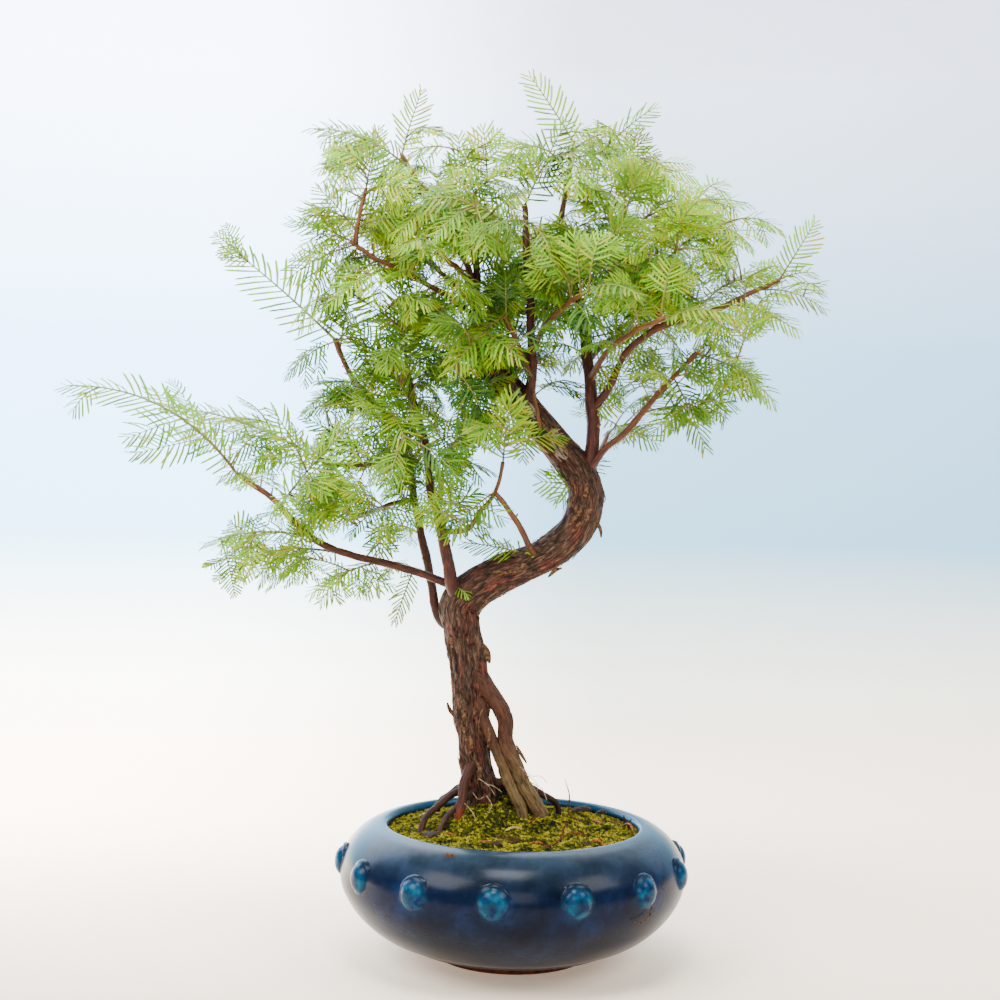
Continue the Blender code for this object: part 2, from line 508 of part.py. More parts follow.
class Spray:
    """One closed mesh of a rib, its needles and its side sprays, grown from the stem's foot."""

    def __init__(self, seed):
        self.verts = []
        self.faces = []
        self.draw = random.Random(seed)

    def vert(self, place):
        self.verts.append(place)
        return len(self.verts) - 1

    def place_of(self, *corners):
        return sum((self.verts[corner] for corner in corners), Vector()) / len(corners)

    def needle(self, root, direction, length):
        """A three-sided needle on one root triangle of the rib."""
        a, b, c = root
        tip = self.vert(self.place_of(a, b) + direction * length)
        self.faces += [(a, b, tip), (b, c, tip), (c, a, tip)]

    def grow(self, spine, up, needle, pairs, start=None, forks=None):
        """Grow along the spine. start holds the root triangle that a side spray grows from.

        pairs holds the length of the side sprays by step, and forks what forks off by step and hand.
        The rib is three-sided: a left, a right and a keel line. Each step of the left and right
        lines carries one needle, after the bare first step.
        """
        steps = len(spine) - 1
        tip = self.vert(spine[-1])
        if start:
            left, right, keel = start
        else:
            left = right = self.vert(spine[0])
            keel = None
        for i in range(steps):
            ahead = (spine[i + 1] - spine[i]).normalized()
            side = up.cross(ahead).normalized()
            above = ahead.cross(side)
            share = i / max(steps - 1, 1)
            slim = 1 - 0.55 * share
            middle = (spine[i] + spine[i + 1]) / 2
            new_keel = self.vert(middle - above * RIB_DEEP * slim)
            if i == steps - 1:
                new_left = new_right = tip
                self.faces.append((left, right, tip) if left != right else ())
            else:
                new_left = self.vert(spine[i + 1] + side * RIB_HALF * slim)
                new_right = self.vert(spine[i + 1] - side * RIB_HALF * slim)
                self.faces.append((right, new_right, new_left))
                if left != right:
                    self.faces.append((right, new_left, left))
            if keel is not None:
                self.faces += [(keel, left, new_keel), (right, keel, new_keel)]
            roots = ((left, new_left, new_keel, 1), (new_right, right, new_keel, -1))
            for a, b, c, hand in roots:
                root = (a, b, c)
                if forks and (i, hand) in forks:
                    self.fork(root, *forks[i, hand])
                elif i in pairs:
                    self.side_spray(root, ahead, side * hand, above, needle, pairs[i])
                elif 0 < i < steps - 1:
                    fan = NEEDLE_WIDE + (NEEDLE_NARROW - NEEDLE_WIDE) * share
                    angle = math.radians(fan + self.draw.uniform(-3, 3))
                    swell = math.sin(math.pi * (0.22 + 0.66 * share)) ** 0.8
                    lift = self.draw.uniform(-0.10, 0.02)
                    aim = ahead * math.cos(angle) + side * hand * math.sin(angle) + above * lift
                    self.needle(root, aim.normalized(), needle * swell * self.draw.uniform(0.92, 1.06))
                else:
                    self.faces.append(root)
            left, right, keel = new_left, new_right, new_keel
        self.faces = [face for face in self.faces if face]

    def side_spray(self, root, ahead, outward, above, needle, length):
        turn, dip = math.radians(SIDE_ANGLE), math.radians(SIDE_DIP)
        level = ahead * math.cos(turn) + outward * math.sin(turn)
        aim = level * math.cos(dip) - above * math.sin(dip)
        foot = self.place_of(*root)
        count = max(3, round(length / STEP))
        spine = [foot + aim * (STEP * 0.94 * i) - above * (0.25 * i) for i in range(count)]
        spine.append(spine[-1] + aim * needle * 0.4)
        self.grow(spine, above, needle * SIDE_NEEDLE, {}, root)

    def fork(self, root, tip, facing, needle, pair_count):
        """A spray that leaves the stem at a root triangle and ends at its own tip."""
        foot = self.place_of(*root)
        up = upper_side(tip - foot, facing)
        spine = stem_spine(foot, tip, FORK_ARCH, up)
        self.grow(spine, up, needle, side_pairs(spine, pair_count), root)

    def bvh(self):
        return BVHTree.FromPolygons(self.verts, self.faces)


def upper_side(reach, facing):
    """The direction of a spray's upper side, square to its run."""
    along = reach.normalized()
    face = math.radians(facing)
    up = Vector((0, -math.sin(face), math.cos(face)))
    return (up - along * up.dot(along)).normalized()


def side_pairs(spine, pair_count):
    """Lengths of the side sprays by the step of the spine that they leave from."""
    steps = len(spine) - 1
    length = (spine[-1] - spine[0]).length
    return {max(2, round(steps * (0.24 + 0.26 * k))): length * (0.40 - 0.10 * k) for k in range(pair_count)}


def stem_spine(foot, tip, arch, up):
    """Points a step apart from foot to tip, with the middle raised, and a long last step."""
    length = (tip - foot).length
    count = max(5, round(length / STEP))
    points = []
    for i in range(count + 1):
        share = i / count
        points.append(foot.lerp(tip, share) + up * arch * 4 * share * (1 - share))
    return points


def grow_stem(index, foot, row, bend):
    """One leafy stem, its tip and upper side turned about its foot by the bend's three angles."""
    _, _, tip, arch, facing, needle, pair_count = row
    yaw, pitch, roll = (math.radians(angle) for angle in bend)
    reach = Vector(tip) - foot
    flat = Vector((reach.y, -reach.x, 0))
    hinge = flat.normalized() if flat.length > 1 else Vector((1, 0, 0))
    turn = Matrix.Rotation(yaw, 3, "Z") @ Matrix.Rotation(pitch, 3, hinge)
    reach = turn @ reach
    turn = Matrix.Rotation(roll, 3, reach) @ turn
    up = Matrix.Rotation(roll, 3, reach) @ upper_side(reach, facing)
    spine = stem_spine(foot, foot + reach, arch, up)
    forks = {}
    for number, share, end, fork_facing, fork_needle, fork_pairs in FORKS:
        if number == index + 1:
            end = foot + turn @ (Vector(end) - foot)
            step = min(max(2, round(share * (len(spine) - 1))), len(spine) - 4)
            left = up.cross(spine[step + 1] - spine[step])
            hand = 1 if left.dot(end - spine[step]) > 0 else -1
            forks[step, hand] = (end, fork_facing, fork_needle, fork_pairs)
    spray = Spray(index)
    spray.grow(spine, up, needle, side_pairs(spine, pair_count), forks=forks)
    return spray


def nearest_on(route, place):
    """The point of a route's straight runs that lies nearest to a place, a little short of its end."""
    best = None
    for start, end in itertools.pairwise([Vector(point) for point in route]):
        _, share = intersect_point_line(place, start, end)
        point = start.lerp(end, min(max(share, 0), 1)) + (start - end).normalized()
        if best is None or (point - place).length < (best - place).length:
            best = point
    return best


def seat_on(wood, centre, toward):
    """The point just outside the wood on the line from a bough's middle towards a stem's tip."""
    aim = (toward - centre).normalized()
    hit, _, _, _ = wood.ray_cast(centre - aim * 0.5, aim)
    return hit + aim * 1.5 * GAP


def make_leafy_stems(parts, surfaces, tree):
    shown = bmesh.new()
    shown.from_mesh(tree.data)
    bmesh.ops.scale(shown, vec=(1 / MM, 1 / MM, 1 / MM), verts=shown.verts)
    wood = BVHTree.FromBMesh(shown)
    shown.free()
    grown = [wood]
    for index, row in enumerate(LEAFY_STEMS):
        foot = seat_on(wood, nearest_on(BOUGHS[row[0]][0], Vector(row[1])), Vector(row[2]))
        for bend in BENDS:
            spray = grow_stem(index, foot, row, bend)
            shape = spray.bvh()
            if not any(shape.overlap(other) for other in grown):
                break
        else:
            raise RuntimeError(f"leafy stem {index} finds no free place")
        grown.append(shape)
        name = f"leafy_stem_{index + 1:02d}"
        mesh = bpy.data.meshes.new(name)
        mesh.from_pydata([place * MM for place in spray.verts], [], spray.faces)
        finish(add_object(name, mesh, parts), surfaces[index % len(surfaces)], 30)


def main():
    for obj in list(bpy.data.objects):
        bpy.data.objects.remove(obj)
    parts = collection(MODEL_NAME)
    glaze = material("blue_glazed_stoneware", "1F3A63", 0.18)
    plastic = material("black_drain_mesh", "1C1D1F", 0.5)
    earth = material("potting_soil", "3B2C20", 0.95)
    green_moss = material("moss", "6E7F22", 0.95)
    bark = material("fibrous_bark", "6B4536", 0.85)
    leaves = [material("young_needles", "9CC23E", 0.5), material("green_needles", "6FA036", 0.5)]
    make_pot(parts, glaze)
    make_drain_mesh("drain_mesh_left", -1, parts, plastic)
    make_drain_mesh("drain_mesh_right", 1, parts, plastic)
    make_soil(parts, earth)
    make_moss(parts, green_moss)
    tree = make_tree(parts, bark)
    make_leafy_stems(parts, leaves, tree)


main()
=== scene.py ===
"""Dawn redwood bonsai in its round stoneware drum pot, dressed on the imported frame.

Tables are in millimetres and become metres as each mesh is written. The origin is the middle of the
pot's foot on the floor, +Z is up and -Y is the front of the tree.
"""
import itertools
import json
import math
import random

import bmesh
import bpy
from mathutils import Matrix, Vector, noise
from mathutils.geometry import intersect_point_line
from mathutils.kdtree import KDTree

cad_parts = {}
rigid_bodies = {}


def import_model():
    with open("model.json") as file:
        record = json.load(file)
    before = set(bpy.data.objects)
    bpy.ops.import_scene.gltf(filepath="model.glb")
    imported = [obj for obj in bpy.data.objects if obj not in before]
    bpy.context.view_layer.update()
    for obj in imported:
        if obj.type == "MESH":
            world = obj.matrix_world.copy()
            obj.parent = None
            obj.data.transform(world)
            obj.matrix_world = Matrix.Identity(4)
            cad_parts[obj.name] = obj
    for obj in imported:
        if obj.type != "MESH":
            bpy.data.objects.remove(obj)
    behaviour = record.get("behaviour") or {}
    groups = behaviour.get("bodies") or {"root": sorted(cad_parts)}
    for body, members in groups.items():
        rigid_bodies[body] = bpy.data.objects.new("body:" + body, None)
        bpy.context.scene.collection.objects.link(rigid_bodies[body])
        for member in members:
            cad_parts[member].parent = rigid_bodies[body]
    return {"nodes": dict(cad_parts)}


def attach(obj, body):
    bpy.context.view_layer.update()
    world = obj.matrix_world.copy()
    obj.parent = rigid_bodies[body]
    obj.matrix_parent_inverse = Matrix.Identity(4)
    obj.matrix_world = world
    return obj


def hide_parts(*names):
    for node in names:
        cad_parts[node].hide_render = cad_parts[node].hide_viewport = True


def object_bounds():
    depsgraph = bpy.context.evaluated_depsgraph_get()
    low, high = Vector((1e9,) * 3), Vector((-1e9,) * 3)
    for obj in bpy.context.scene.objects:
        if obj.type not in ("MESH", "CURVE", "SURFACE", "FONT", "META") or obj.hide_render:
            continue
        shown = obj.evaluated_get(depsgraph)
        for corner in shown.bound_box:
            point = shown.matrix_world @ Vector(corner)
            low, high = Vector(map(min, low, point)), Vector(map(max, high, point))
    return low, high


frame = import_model()
cad_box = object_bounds()

MM = 0.001
BODY = "root"

# Camera: as far from the tree and as high as the eye was, tipped up a little and turned clockwise.
CAMERA_PLACE = (-14.8, -974.6, 300.3)
CAMERA_LENS = 46.8
CAMERA_PITCH, CAMERA_ROLL = 1.9, 1.2

# Soft lights: name, place, size and power in watts. All of them face the lower trunk.
STUDIO_LIGHTS = [("behind_above", (0, 900, 1700), 1500, 22.0), ("left", (-1150, -750, 1350), 900, 42.0),
                 ("right", (1250, -650, 1250), 800, 24.0), ("front", (0, -1900, 900), 900, 16.0),
                 ("top", (-50, -380, 1300), 420, 15.0)]
LIT_PLACE = (0, 0, 250)
ROOM_LIGHT = 0.38

# Backdrop: a floor, a quarter round that sweeps up, and a wall.
FLOOR_FRONT, FLOOR_BACK = -2400, 900
SWEEP_RADIUS, SWEEP_STEPS = 700, 16
WALL_TOP, BACKDROP_HALF_WIDTH = 3200, 3200
FLOOR_DROP = 0.2   # the floor lies this far under the pot's foot

# Pot: the wall's profile as (radius, height), from the middle of the floor up inside and down outside.
POT_SIDES = 240
FLOOR_TOP = 14.0
POT_INSIDE = [(0.0, FLOOR_TOP), (76.0, FLOOR_TOP), (104.0, 29.0), (117.0, 52.0), (115.5, 68.0),
              (104.0, 82.5), (93.5, 87.0), (93.0, 91.0)]
POT_OUTSIDE = [(94.2, 93.2), (97.5, 93.7), (105.5, 91.5), (116.0, 84.5), (124.0, 74.0), (127.0, 62.0),
               (125.0, 48.0), (115.5, 32.5), (100.0, 19.0), (83.5, 11.8), (81.6, 10.2)]
POT_FOOT = [(80.0, 9.8), (62.0, 9.0), (59.8, 8.0), (59.6, 1.2), (58.6, 0.0), (0.0, 0.0)]
STUD_COUNT = 14
STUD_TURN = -6.4
STUD_HEIGHT = 66.0
STUD_WALL = 126.2
STUD_PROFILE = [(0.0, 5.0), (3.4, 4.7), (6.4, 3.7), (8.9, 1.9), (10.6, -0.3), (12.6, -1.5), (13.2, -4.0),
                (0.0, -4.0)]
STUD_SIDES = 30
STUD_GLAZE_REACH, STUD_GLAZE_FADE = 13.4, 9.0   # how far a stud's own glaze reaches, and fades over
LIP_REACH, LIP_BOTTOM, LIP_SHARE = 94.6, 90.0, 0.7   # the lip's outer radius, its start and its paler glaze
HOLE_X, HOLE_RADIUS = 38.0, 8.0
GROOVE_REACH, GROOVE_WIDTH, GROOVE_DEPTH = 40.0, 11.0, 2.5
HOLE_SIDES = 48
CUTTER_SPARE = 5.0   # the holes' cutters stand this far past the floor

# Moss on the soil.
MOSS_RADIUS = 92.2
MOSS_BOTTOM = 83.3
MOSS_EDGE = 87.5
MOSS_MOUND = 19.0
MOUND_SPREAD = 40.0
MOUND_X, MOUND_Y = -8.0, 6.0

# Trunk: (x, y, z, radius) from inside the soil to the cut top.
TRUNK = [(-22, 4, 74, 12), (-23, 4, 100, 12.5), (-25, 3, 122, 12), (-29, 2, 138, 11.5),
         (-32, 1, 156, 11.5), (-34, 0, 172, 12.5), (-34, 0, 186, 13.6), (-36, 0, 203, 12.8),
         (-39, 0, 222, 13.2), (-42, 1, 239, 13.8), (-43, 2, 253, 15), (-32, 2, 265, 15), (-15, 1, 275, 13.8),
         (3, -1, 283, 13), (22, -3, 293, 12.6), (38, -5, 306, 12.8), (47, -6, 323, 13), (48, -6, 341, 13),
         (41, -4, 357, 12.6), (30, -2, 370, 11.6), (18, 0, 385, 11), (5, 2, 400, 11), (-8, 4, 415, 11),
         (-19, 6, 428, 10.8), (-28, 8, 440, 9.4), (-33, 8, 448, 6)]
RIDGES = ((5, 0.055, 0.021), (3, 0.045, -0.034))   # lobes round the trunk, depth, turn for each mm

# Surface roots: name: (route, radius at the trunk, radius at the end)
ROOTS = {
    "outer_strand": ([(-26, -2, 196), (-15, -5, 184), (-8, -7, 170), (-6, -8, 154), (0, -9, 140),
                      (8, -10, 124), (16, -11, 110), (22, -12, 98), (26, -13, 80)], 6.0, 4.6),
    "inner_strand": ([(-28, -6, 182), (-21, -8, 166), (-15, -9, 151), (-8, -10, 136), (-1, -12, 120),
                      (6, -14, 104), (9, -15, 80)], 4.6, 3.8),
    "red_root": ([(-31, -6, 136), (-35, -13, 126), (-38, -19, 114), (-40, -24, 100), (-41, -28, 80)],
                 4.0, 2.6),
    "left_root": ([(-30, -2, 122), (-40, -8, 116), (-52, -13, 110), (-62, -20, 102), (-67, -28, 92),
                   (-69, -33, 79)], 2.8, 2.0),
    "front_left_root": ([(-31, -8, 116), (-40, -18, 109), (-48, -28, 101), (-54, -38, 92),
                         (-57, -44, 79)], 2.5, 1.8),
    "right_root": ([(4, -4, 122), (16, -1, 117), (26, 4, 111), (33, 9, 103), (36, 12, 80)], 3.0, 1.8),
    "back_root": ([(-22, 8, 124), (-16, 22, 114), (-10, 36, 104), (-7, 45, 80)], 4.6, 2.8),
    "back_left_root": ([(-30, 8, 120), (-44, 20, 111), (-56, 31, 101), (-61, 38, 80)], 3.8, 2.4),
}

# Boughs: name: (route, radius at the start, radius at the end)
BOUGHS = {
    "low_left": ([(-42, 0, 262), (-56, -3, 271), (-89, -9, 281), (-130, -15, 291), (-155, -19, 303),
                  (-177, -23, 326), (-206, -27, 347)], 3.2, 2.0),
    "long_left": ([(-42, 4, 234), (-56, 8, 240), (-63, 10, 254), (-67, 12, 275), (-72, 14, 298),
                   (-81, 18, 336), (-86, 22, 372), (-98, 25, 392), (-126, 29, 420), (-138, 31, 438),
                   (-146, 32, 456)], 3.8, 2.0),
    "red_shoot": ([(-44, -4, 258), (-50, -9, 272), (-54, -11, 292), (-60, -12, 318), (-66, -12, 340),
                   (-71, -11, 374), (-80, -9, 404), (-86, -8, 430)], 5.2, 1.8),
    "shoot_twig": ([(-57, -12, 308), (-40, -16, 309), (-30, -18, 322), (-19, -20, 336), (-13, -22, 360)],
                   2.0, 1.4),
    "stub_twig": ([(16, -4, 286), (8, -16, 297), (-1, -21, 315), (-19, -25, 338)], 2.8, 1.8),
    "mid_left": ([(-85, 21, 366), (-96, 14, 364), (-116, 8, 358), (-144, 4, 356)], 2.2, 1.7),
    "under_left": ([(-80, 17, 332), (-96, 8, 328), (-112, 2, 322), (-128, -2, 316)], 2.0, 1.5),
    "cut_shoot": ([(4, 2, 400), (5, -9, 413), (7, -15, 432), (4, -17, 480), (1, -17, 516), (-1, -17, 552)],
                  4.4, 2.2),
    "cut_shoot_twig": ([(6, -15, 424), (-4, -25, 446), (-15, -33, 466)], 1.9, 1.4),
    "right_shoot": ([(47, -6, 346), (53, -6, 368), (53, -4, 400), (50, -1, 430), (47, 2, 456),
                     (41, 5, 488), (32, 7, 520), (28, 7, 546), (31, 5, 574), (36, 2, 604)], 5.8, 1.5),
    "right_bough": ([(53, -3, 402), (66, -14, 420), (76, -20, 442), (98, -24, 460), (135, -28, 472),
                     (160, -30, 484), (186, -31, 497)], 3.0, 1.6),
    "right_riser": ([(97, -24, 460), (100, -14, 482), (99, -8, 512), (98, -4, 548)], 1.9, 1.4),
    "low_right": ([(50, -8, 356), (62, -12, 371), (78, -19, 385), (93, -24, 404), (110, -28, 424),
                   (126, -30, 442)], 2.8, 1.7),
    "top_shoot": ([(-27, 8, 436), (-34, 7, 462), (-36, 5, 484), (-36, 3, 508), (-41, 1, 530)], 5.0, 1.9),
    "upper_left": ([(-36, 4, 488), (-44, 1, 511), (-58, -2, 531), (-72, -5, 552), (-84, -8, 573),
                    (-94, -10, 590)], 2.6, 1.5),
    "left_back_twig": ([(-35, 6, 476), (-52, 13, 496), (-82, 22, 522), (-94, 26, 533)], 2.2, 1.5),
    "left_front_twig": ([(-35, 6, 470), (-56, -10, 483), (-89, -26, 498), (-110, -32, 506),
                         (-128, -36, 518)], 2.2, 1.5),
    "left_riser": ([(-124, -35, 515), (-122, -37, 532), (-117, -38, 556)], 1.6, 1.3),
    "back_left": ([(-6, 5, 413), (-22, 32, 440), (-36, 62, 456), (-48, 96, 474)], 3.4, 1.6),
    "back_right": ([(49, 1, 440), (62, 30, 455), (78, 60, 469), (98, 88, 482)], 3.0, 1.6),
    "back_riser": ([(-36, 5, 482), (-22, 34, 502), (-6, 62, 524), (6, 84, 544)], 2.4, 1.5),
    "back_low": ([(46, -2, 342), (56, 26, 358), (64, 54, 374), (72, 80, 392)], 3.0, 1.6),
    "left_back": ([(-61, -12, 322), (-60, 14, 342), (-66, 42, 360), (-74, 68, 374)], 2.4, 1.5),
    "front_mid": ([(6, -16, 442), (14, -38, 456), (28, -62, 468), (40, -84, 474)], 2.4, 1.5),
    "front_left": ([(-36, 5, 480), (-42, -28, 492), (-52, -56, 498), (-60, -80, 500)], 2.4, 1.5),
    "front_right": ([(51, -2, 424), (60, -32, 440), (78, -60, 452), (96, -82, 458)], 2.4, 1.5),
}

# Dead stubs on the trunk: (route, radius at the start, radius at the end)
DEAD_STUBS = [([(-24, 0, 412), (-38, -5, 420), (-45, -6, 428), (-52, -6, 434)], 2.8, 2.0),
              ([(16, -6, 380), (12, -13, 396), (8, -15, 412)], 1.6, 1.0)]

# Leafy stems of the frame, in its order:
# (bough, where it leaves, tip, arch, facing, needle length, pairs of side sprays)
# Facing is the turn of the upper side in degrees: 0 looks up, 90 to the front, -90 to the back.
LEAFY_STEMS = [
    ("low_left", (-206, -27, 347), (-325, -50, 406), 26, 45, 26, 1),
    ("low_left", (-176, -23, 325), (-114, -40, 392), 4, 60, 20, 2),
    ("low_left", (-155, -19, 303), (-226, -34, 296), 6, 30, 18, 2),
    ("low_left", (-130, -15, 291), (-222, 4, 274), 10, 20, 16, 2),
    ("low_left", (-104, -11, 285), (-146, -52, 262), 4, 30, 16, 1),
    ("low_left", (-79, -6, 278), (-90, -14, 242), 2, 80, 13, 0),
    ("low_left", (-190, -25, 336), (-200, 34, 352), 5, -30, 19, 1),
    ("long_left", (-146, 32, 456), (-230, 40, 527), 4, 60, 30, 0),
    ("long_left", (-142, 32, 447), (-130, 22, 514), 3, 88, 27, 0),
    ("long_left", (-132, 30, 430), (-82, 8, 452), 4, 40, 18, 2),
    ("long_left", (-98, 25, 392), (-132, 76, 412), 5, -20, 20, 2),
    ("long_left", (-74, 15, 306), (-114, 64, 310), 5, -10, 18, 1),
    ("mid_left", (-144, 4, 356), (-266, 6, 398), 10, 35, 22, 2),
    ("mid_left", (-118, 8, 358), (-156, -30, 388), 4, 55, 16, 1),
    ("under_left", (-128, -2, 316), (-198, 12, 318), 6, 30, 16, 1),
    ("under_left", (-100, 7, 327), (-122, -40, 304), 5, 40, 14, 0),
    ("red_shoot", (-86, -8, 430), (-94, -26, 496), 3, 70, 18, 1),
    ("red_shoot", (-79, -9, 402), (-128, -36, 450), 4, 45, 18, 2),
    ("red_shoot", (-72, -11, 376), (-118, -50, 400), 4, 40, 18, 2),
    ("red_shoot", (-69, -11, 356), (-34, -58, 374), 4, 55, 19, 2),
    ("shoot_twig", (-13, -22, 360), (-8, -60, 404), 4, 60, 19, 2),
    ("stub_twig", (-19, -25, 338), (-52, -50, 304), 5, 60, 18, 0),
    ("cut_shoot_twig", (-15, -33, 466), (-52, -64, 420), 5, 60, 21, 2),
    ("cut_shoot", (-1, -17, 552), (28, -24, 612), 4, 80, 20, 1),
    ("cut_shoot", (1, -17, 520), (-40, -66, 538), 5, 50, 22, 2),
    ("cut_shoot", (3, -17, 490), (68, -58, 500), 6, 35, 23, 2),
    ("right_shoot", (36, 2, 604), (2, -4, 652), 3, 85, 21, 0),
    ("right_shoot", (34, 3, 594), (90, -8, 590), 5, 60, 21, 1),
    ("right_shoot", (31, 6, 568), (82, 42, 572), 6, 30, 22, 2),
    ("right_shoot", (29, 7, 536), (92, -26, 540), 8, 40, 22, 2),
    ("right_bough", (186, -31, 497), (210, -34, 538), 4, 85, 17, 0),
    ("right_bough", (172, -30, 490), (214, -46, 474), 5, 45, 18, 0),
    ("right_bough", (148, -29, 478), (190, -68, 454), 5, 50, 18, 1),
    ("right_bough", (120, -27, 468), (180, 14, 514), 6, 20, 21, 2),
    ("right_riser", (98, -4, 548), (166, -10, 558), 8, 40, 19, 2),
    ("right_riser", (99, -9, 506), (142, -60, 530), 6, 45, 19, 1),
    ("low_right", (126, -30, 442), (182, -38, 406), 8, 50, 20, 1),
    ("low_right", (110, -28, 424), (130, -50, 372), 4, 80, 19, 1),
    ("low_right", (88, -23, 398), (146, 22, 404), 5, 10, 20, 2),
    ("top_shoot", (-41, 1, 530), (-52, 2, 606), 4, 85, 20, 2),
    ("upper_left", (-94, -10, 590), (-80, -14, 636), 3, 85, 17, 0),
    ("upper_left", (-88, -9, 580), (-160, -22, 604), 10, 55, 18, 2),
    ("left_back_twig", (-94, 26, 533), (-156, 64, 560), 6, 10, 21, 2),
    ("left_front_twig", (-128, -36, 518), (-170, -40, 530), 3, 50, 17, 0),
    ("left_front_twig", (-96, -28, 501), (-134, -74, 466), 6, 50, 19, 1),
    ("left_riser", (-117, -38, 556), (-108, -46, 596), 2, 80, 15, 0),
    ("back_left", (-48, 96, 474), (-88, 140, 480), 6, -25, 21, 2),
    ("back_right", (98, 88, 482), (150, 124, 486), 6, -25, 21, 2),
    ("back_riser", (6, 84, 544), (18, 136, 568), 6, -40, 21, 2),
    ("back_low", (72, 80, 392), (104, 132, 398), 6, -30, 20, 2),
    ("left_back", (-74, 68, 374), (-102, 124, 378), 6, -25, 20, 1),
    ("front_mid", (40, -84, 474), (72, -134, 464), 6, 35, 21, 2),
    ("front_left", (-60, -80, 500), (-78, -134, 494), 6, 35, 21, 2),
    ("front_right", (96, -82, 458), (142, -120, 452), 6, 35, 20, 2),
]
# Forks of the leafy stems: (number of the stem, share along it, tip, facing, needle length, pairs)
FORKS = [
    (2, 0.35, (-176, -58, 390), 50, 18, 1),
    (3, 0.5, (-196, -52, 272), 30, 16, 0),
    (5, 0.4, (-162, -18, 286), 30, 15, 0),
    (10, 0.45, (-98, -34, 472), 45, 18, 1),
    (11, 0.4, (-90, 72, 436), 10, 19, 1),
    (13, 0.35, (-198, -42, 398), 45, 19, 1),
    (13, 0.5, (-238, 50, 392), 15, 19, 0),
    (14, 0.4, (-116, -40, 382), 50, 17, 0),
    (15, 0.4, (-168, -36, 332), 35, 15, 0),
    (16, 0.4, (-92, -40, 320), 40, 15, 0),
    (17, 0.4, (-130, -42, 478), 50, 18, 0),
    (18, 0.4, (-80, -62, 448), 50, 18, 1),
    (19, 0.24, (-108, -4, 362), 50, 18, 0),
    (19, 0.5, (-82, -60, 370), 50, 18, 0),
    (20, 0.45, (-74, -58, 392), 50, 18, 0),
    (21, 0.24, (28, -24, 380), 50, 18, 0),
    (22, 0.4, (-14, -52, 318), 50, 17, 0),
    (23, 0.24, (-58, -32, 456), 50, 18, 0),
    (23, 0.4, (-4, -70, 430), 50, 19, 1),
    (24, 0.4, (34, -56, 580), 60, 19, 0),
    (25, 0.4, (-76, -42, 556), 50, 20, 1),
    (25, 0.4, (6, -74, 522), 45, 19, 1),
    (26, 0.24, (22, -54, 450), 40, 19, 1),
    (26, 0.6, (74, -46, 540), 45, 19, 0),
    (28, 0.4, (92, -22, 624), 60, 18, 0),
    (29, 0.35, (50, 62, 588), 15, 20, 1),
    (30, 0.5, (86, -40, 506), 50, 19, 1),
    (30, 0.24, (86, 42, 524), 20, 19, 0),
    (34, 0.24, (142, 46, 472), 15, 18, 0),
    (34, 0.5, (180, -26, 500), 40, 18, 0),
    (35, 0.4, (136, -48, 534), 45, 18, 1),
    (36, 0.4, (102, -74, 500), 45, 18, 0),
    (37, 0.4, (150, -70, 432), 45, 18, 0),
    (38, 0.4, (94, -54, 382), 60, 17, 0),
    (39, 0.4, (102, 34, 434), 20, 19, 1),
    (40, 0.35, (-98, -14, 568), 50, 19, 1),
    (40, 0.35, (-2, -28, 586), 50, 19, 1),
    (42, 0.35, (-148, -48, 566), 40, 18, 0),
    (43, 0.24, (-112, 88, 518), 0, 19, 0),
    (44, 0.4, (-152, -66, 500), 50, 17, 0),
    (47, 0.35, (-12, 134, 470), -20, 19, 1),
    (47, 0.5, (-96, 92, 508), -10, 19, 0),
    (48, 0.3, (76, 132, 462), -20, 19, 1),
    (48, 0.5, (142, 76, 514), -10, 19, 0),
    (49, 0.3, (62, 112, 536), -25, 20, 1),
    (49, 0.3, (-40, 108, 540), -25, 20, 1),
    (50, 0.35, (50, 124, 412), -20, 19, 0),
    (50, 0.5, (124, 88, 428), -10, 19, 0),
    (51, 0.4, (-58, 118, 404), -20, 18, 1),
]
# Young tufts at the tips of the long stems, which the frame does without.
FORKS += [(8, 0.84, (-242, 38, 537), 70, 13, 1), (8, 0.84, (-232, 28, 520), 70, 12, 0),
          (8, 0.92, (-236, 44, 546), 70, 12, 0), (1, 0.86, (-316, -62, 388), 50, 16, 0)]
FORK_ARCH = 3.0
STATION_STEP = 7.2   # the steps by which the side sprays' places are counted
SIDE_ANGLE, SIDE_DIP = 50, 24
SIDE_NEEDLE = 0.74

# Foliage pieces: name: (slot, boughs whose leaves are in it)
LEAF_GROUPS = {
    "low_left_leaves": ("green_needles", ("low_left",)),
    "long_left_leaves": ("green_needles", ("long_left", "mid_left", "under_left")),
    "red_shoot_leaves": ("green_needles", ("red_shoot", "shoot_twig", "stub_twig", "left_back")),
    "upper_left_leaves": ("young_needles", ("top_shoot", "upper_left", "left_back_twig", "left_front_twig",
                                            "left_riser")),
    "middle_leaves": ("green_needles", ("cut_shoot", "cut_shoot_twig", "front_mid", "front_left")),
    "top_leaves": ("young_needles", ("right_shoot",)),
    "right_leaves": ("young_needles", ("right_bough", "right_riser", "front_right")),
    "low_right_leaves": ("green_needles", ("low_right", "back_low", "back_right")),
    "back_leaves": ("young_needles", ("back_left", "back_riser")),
}

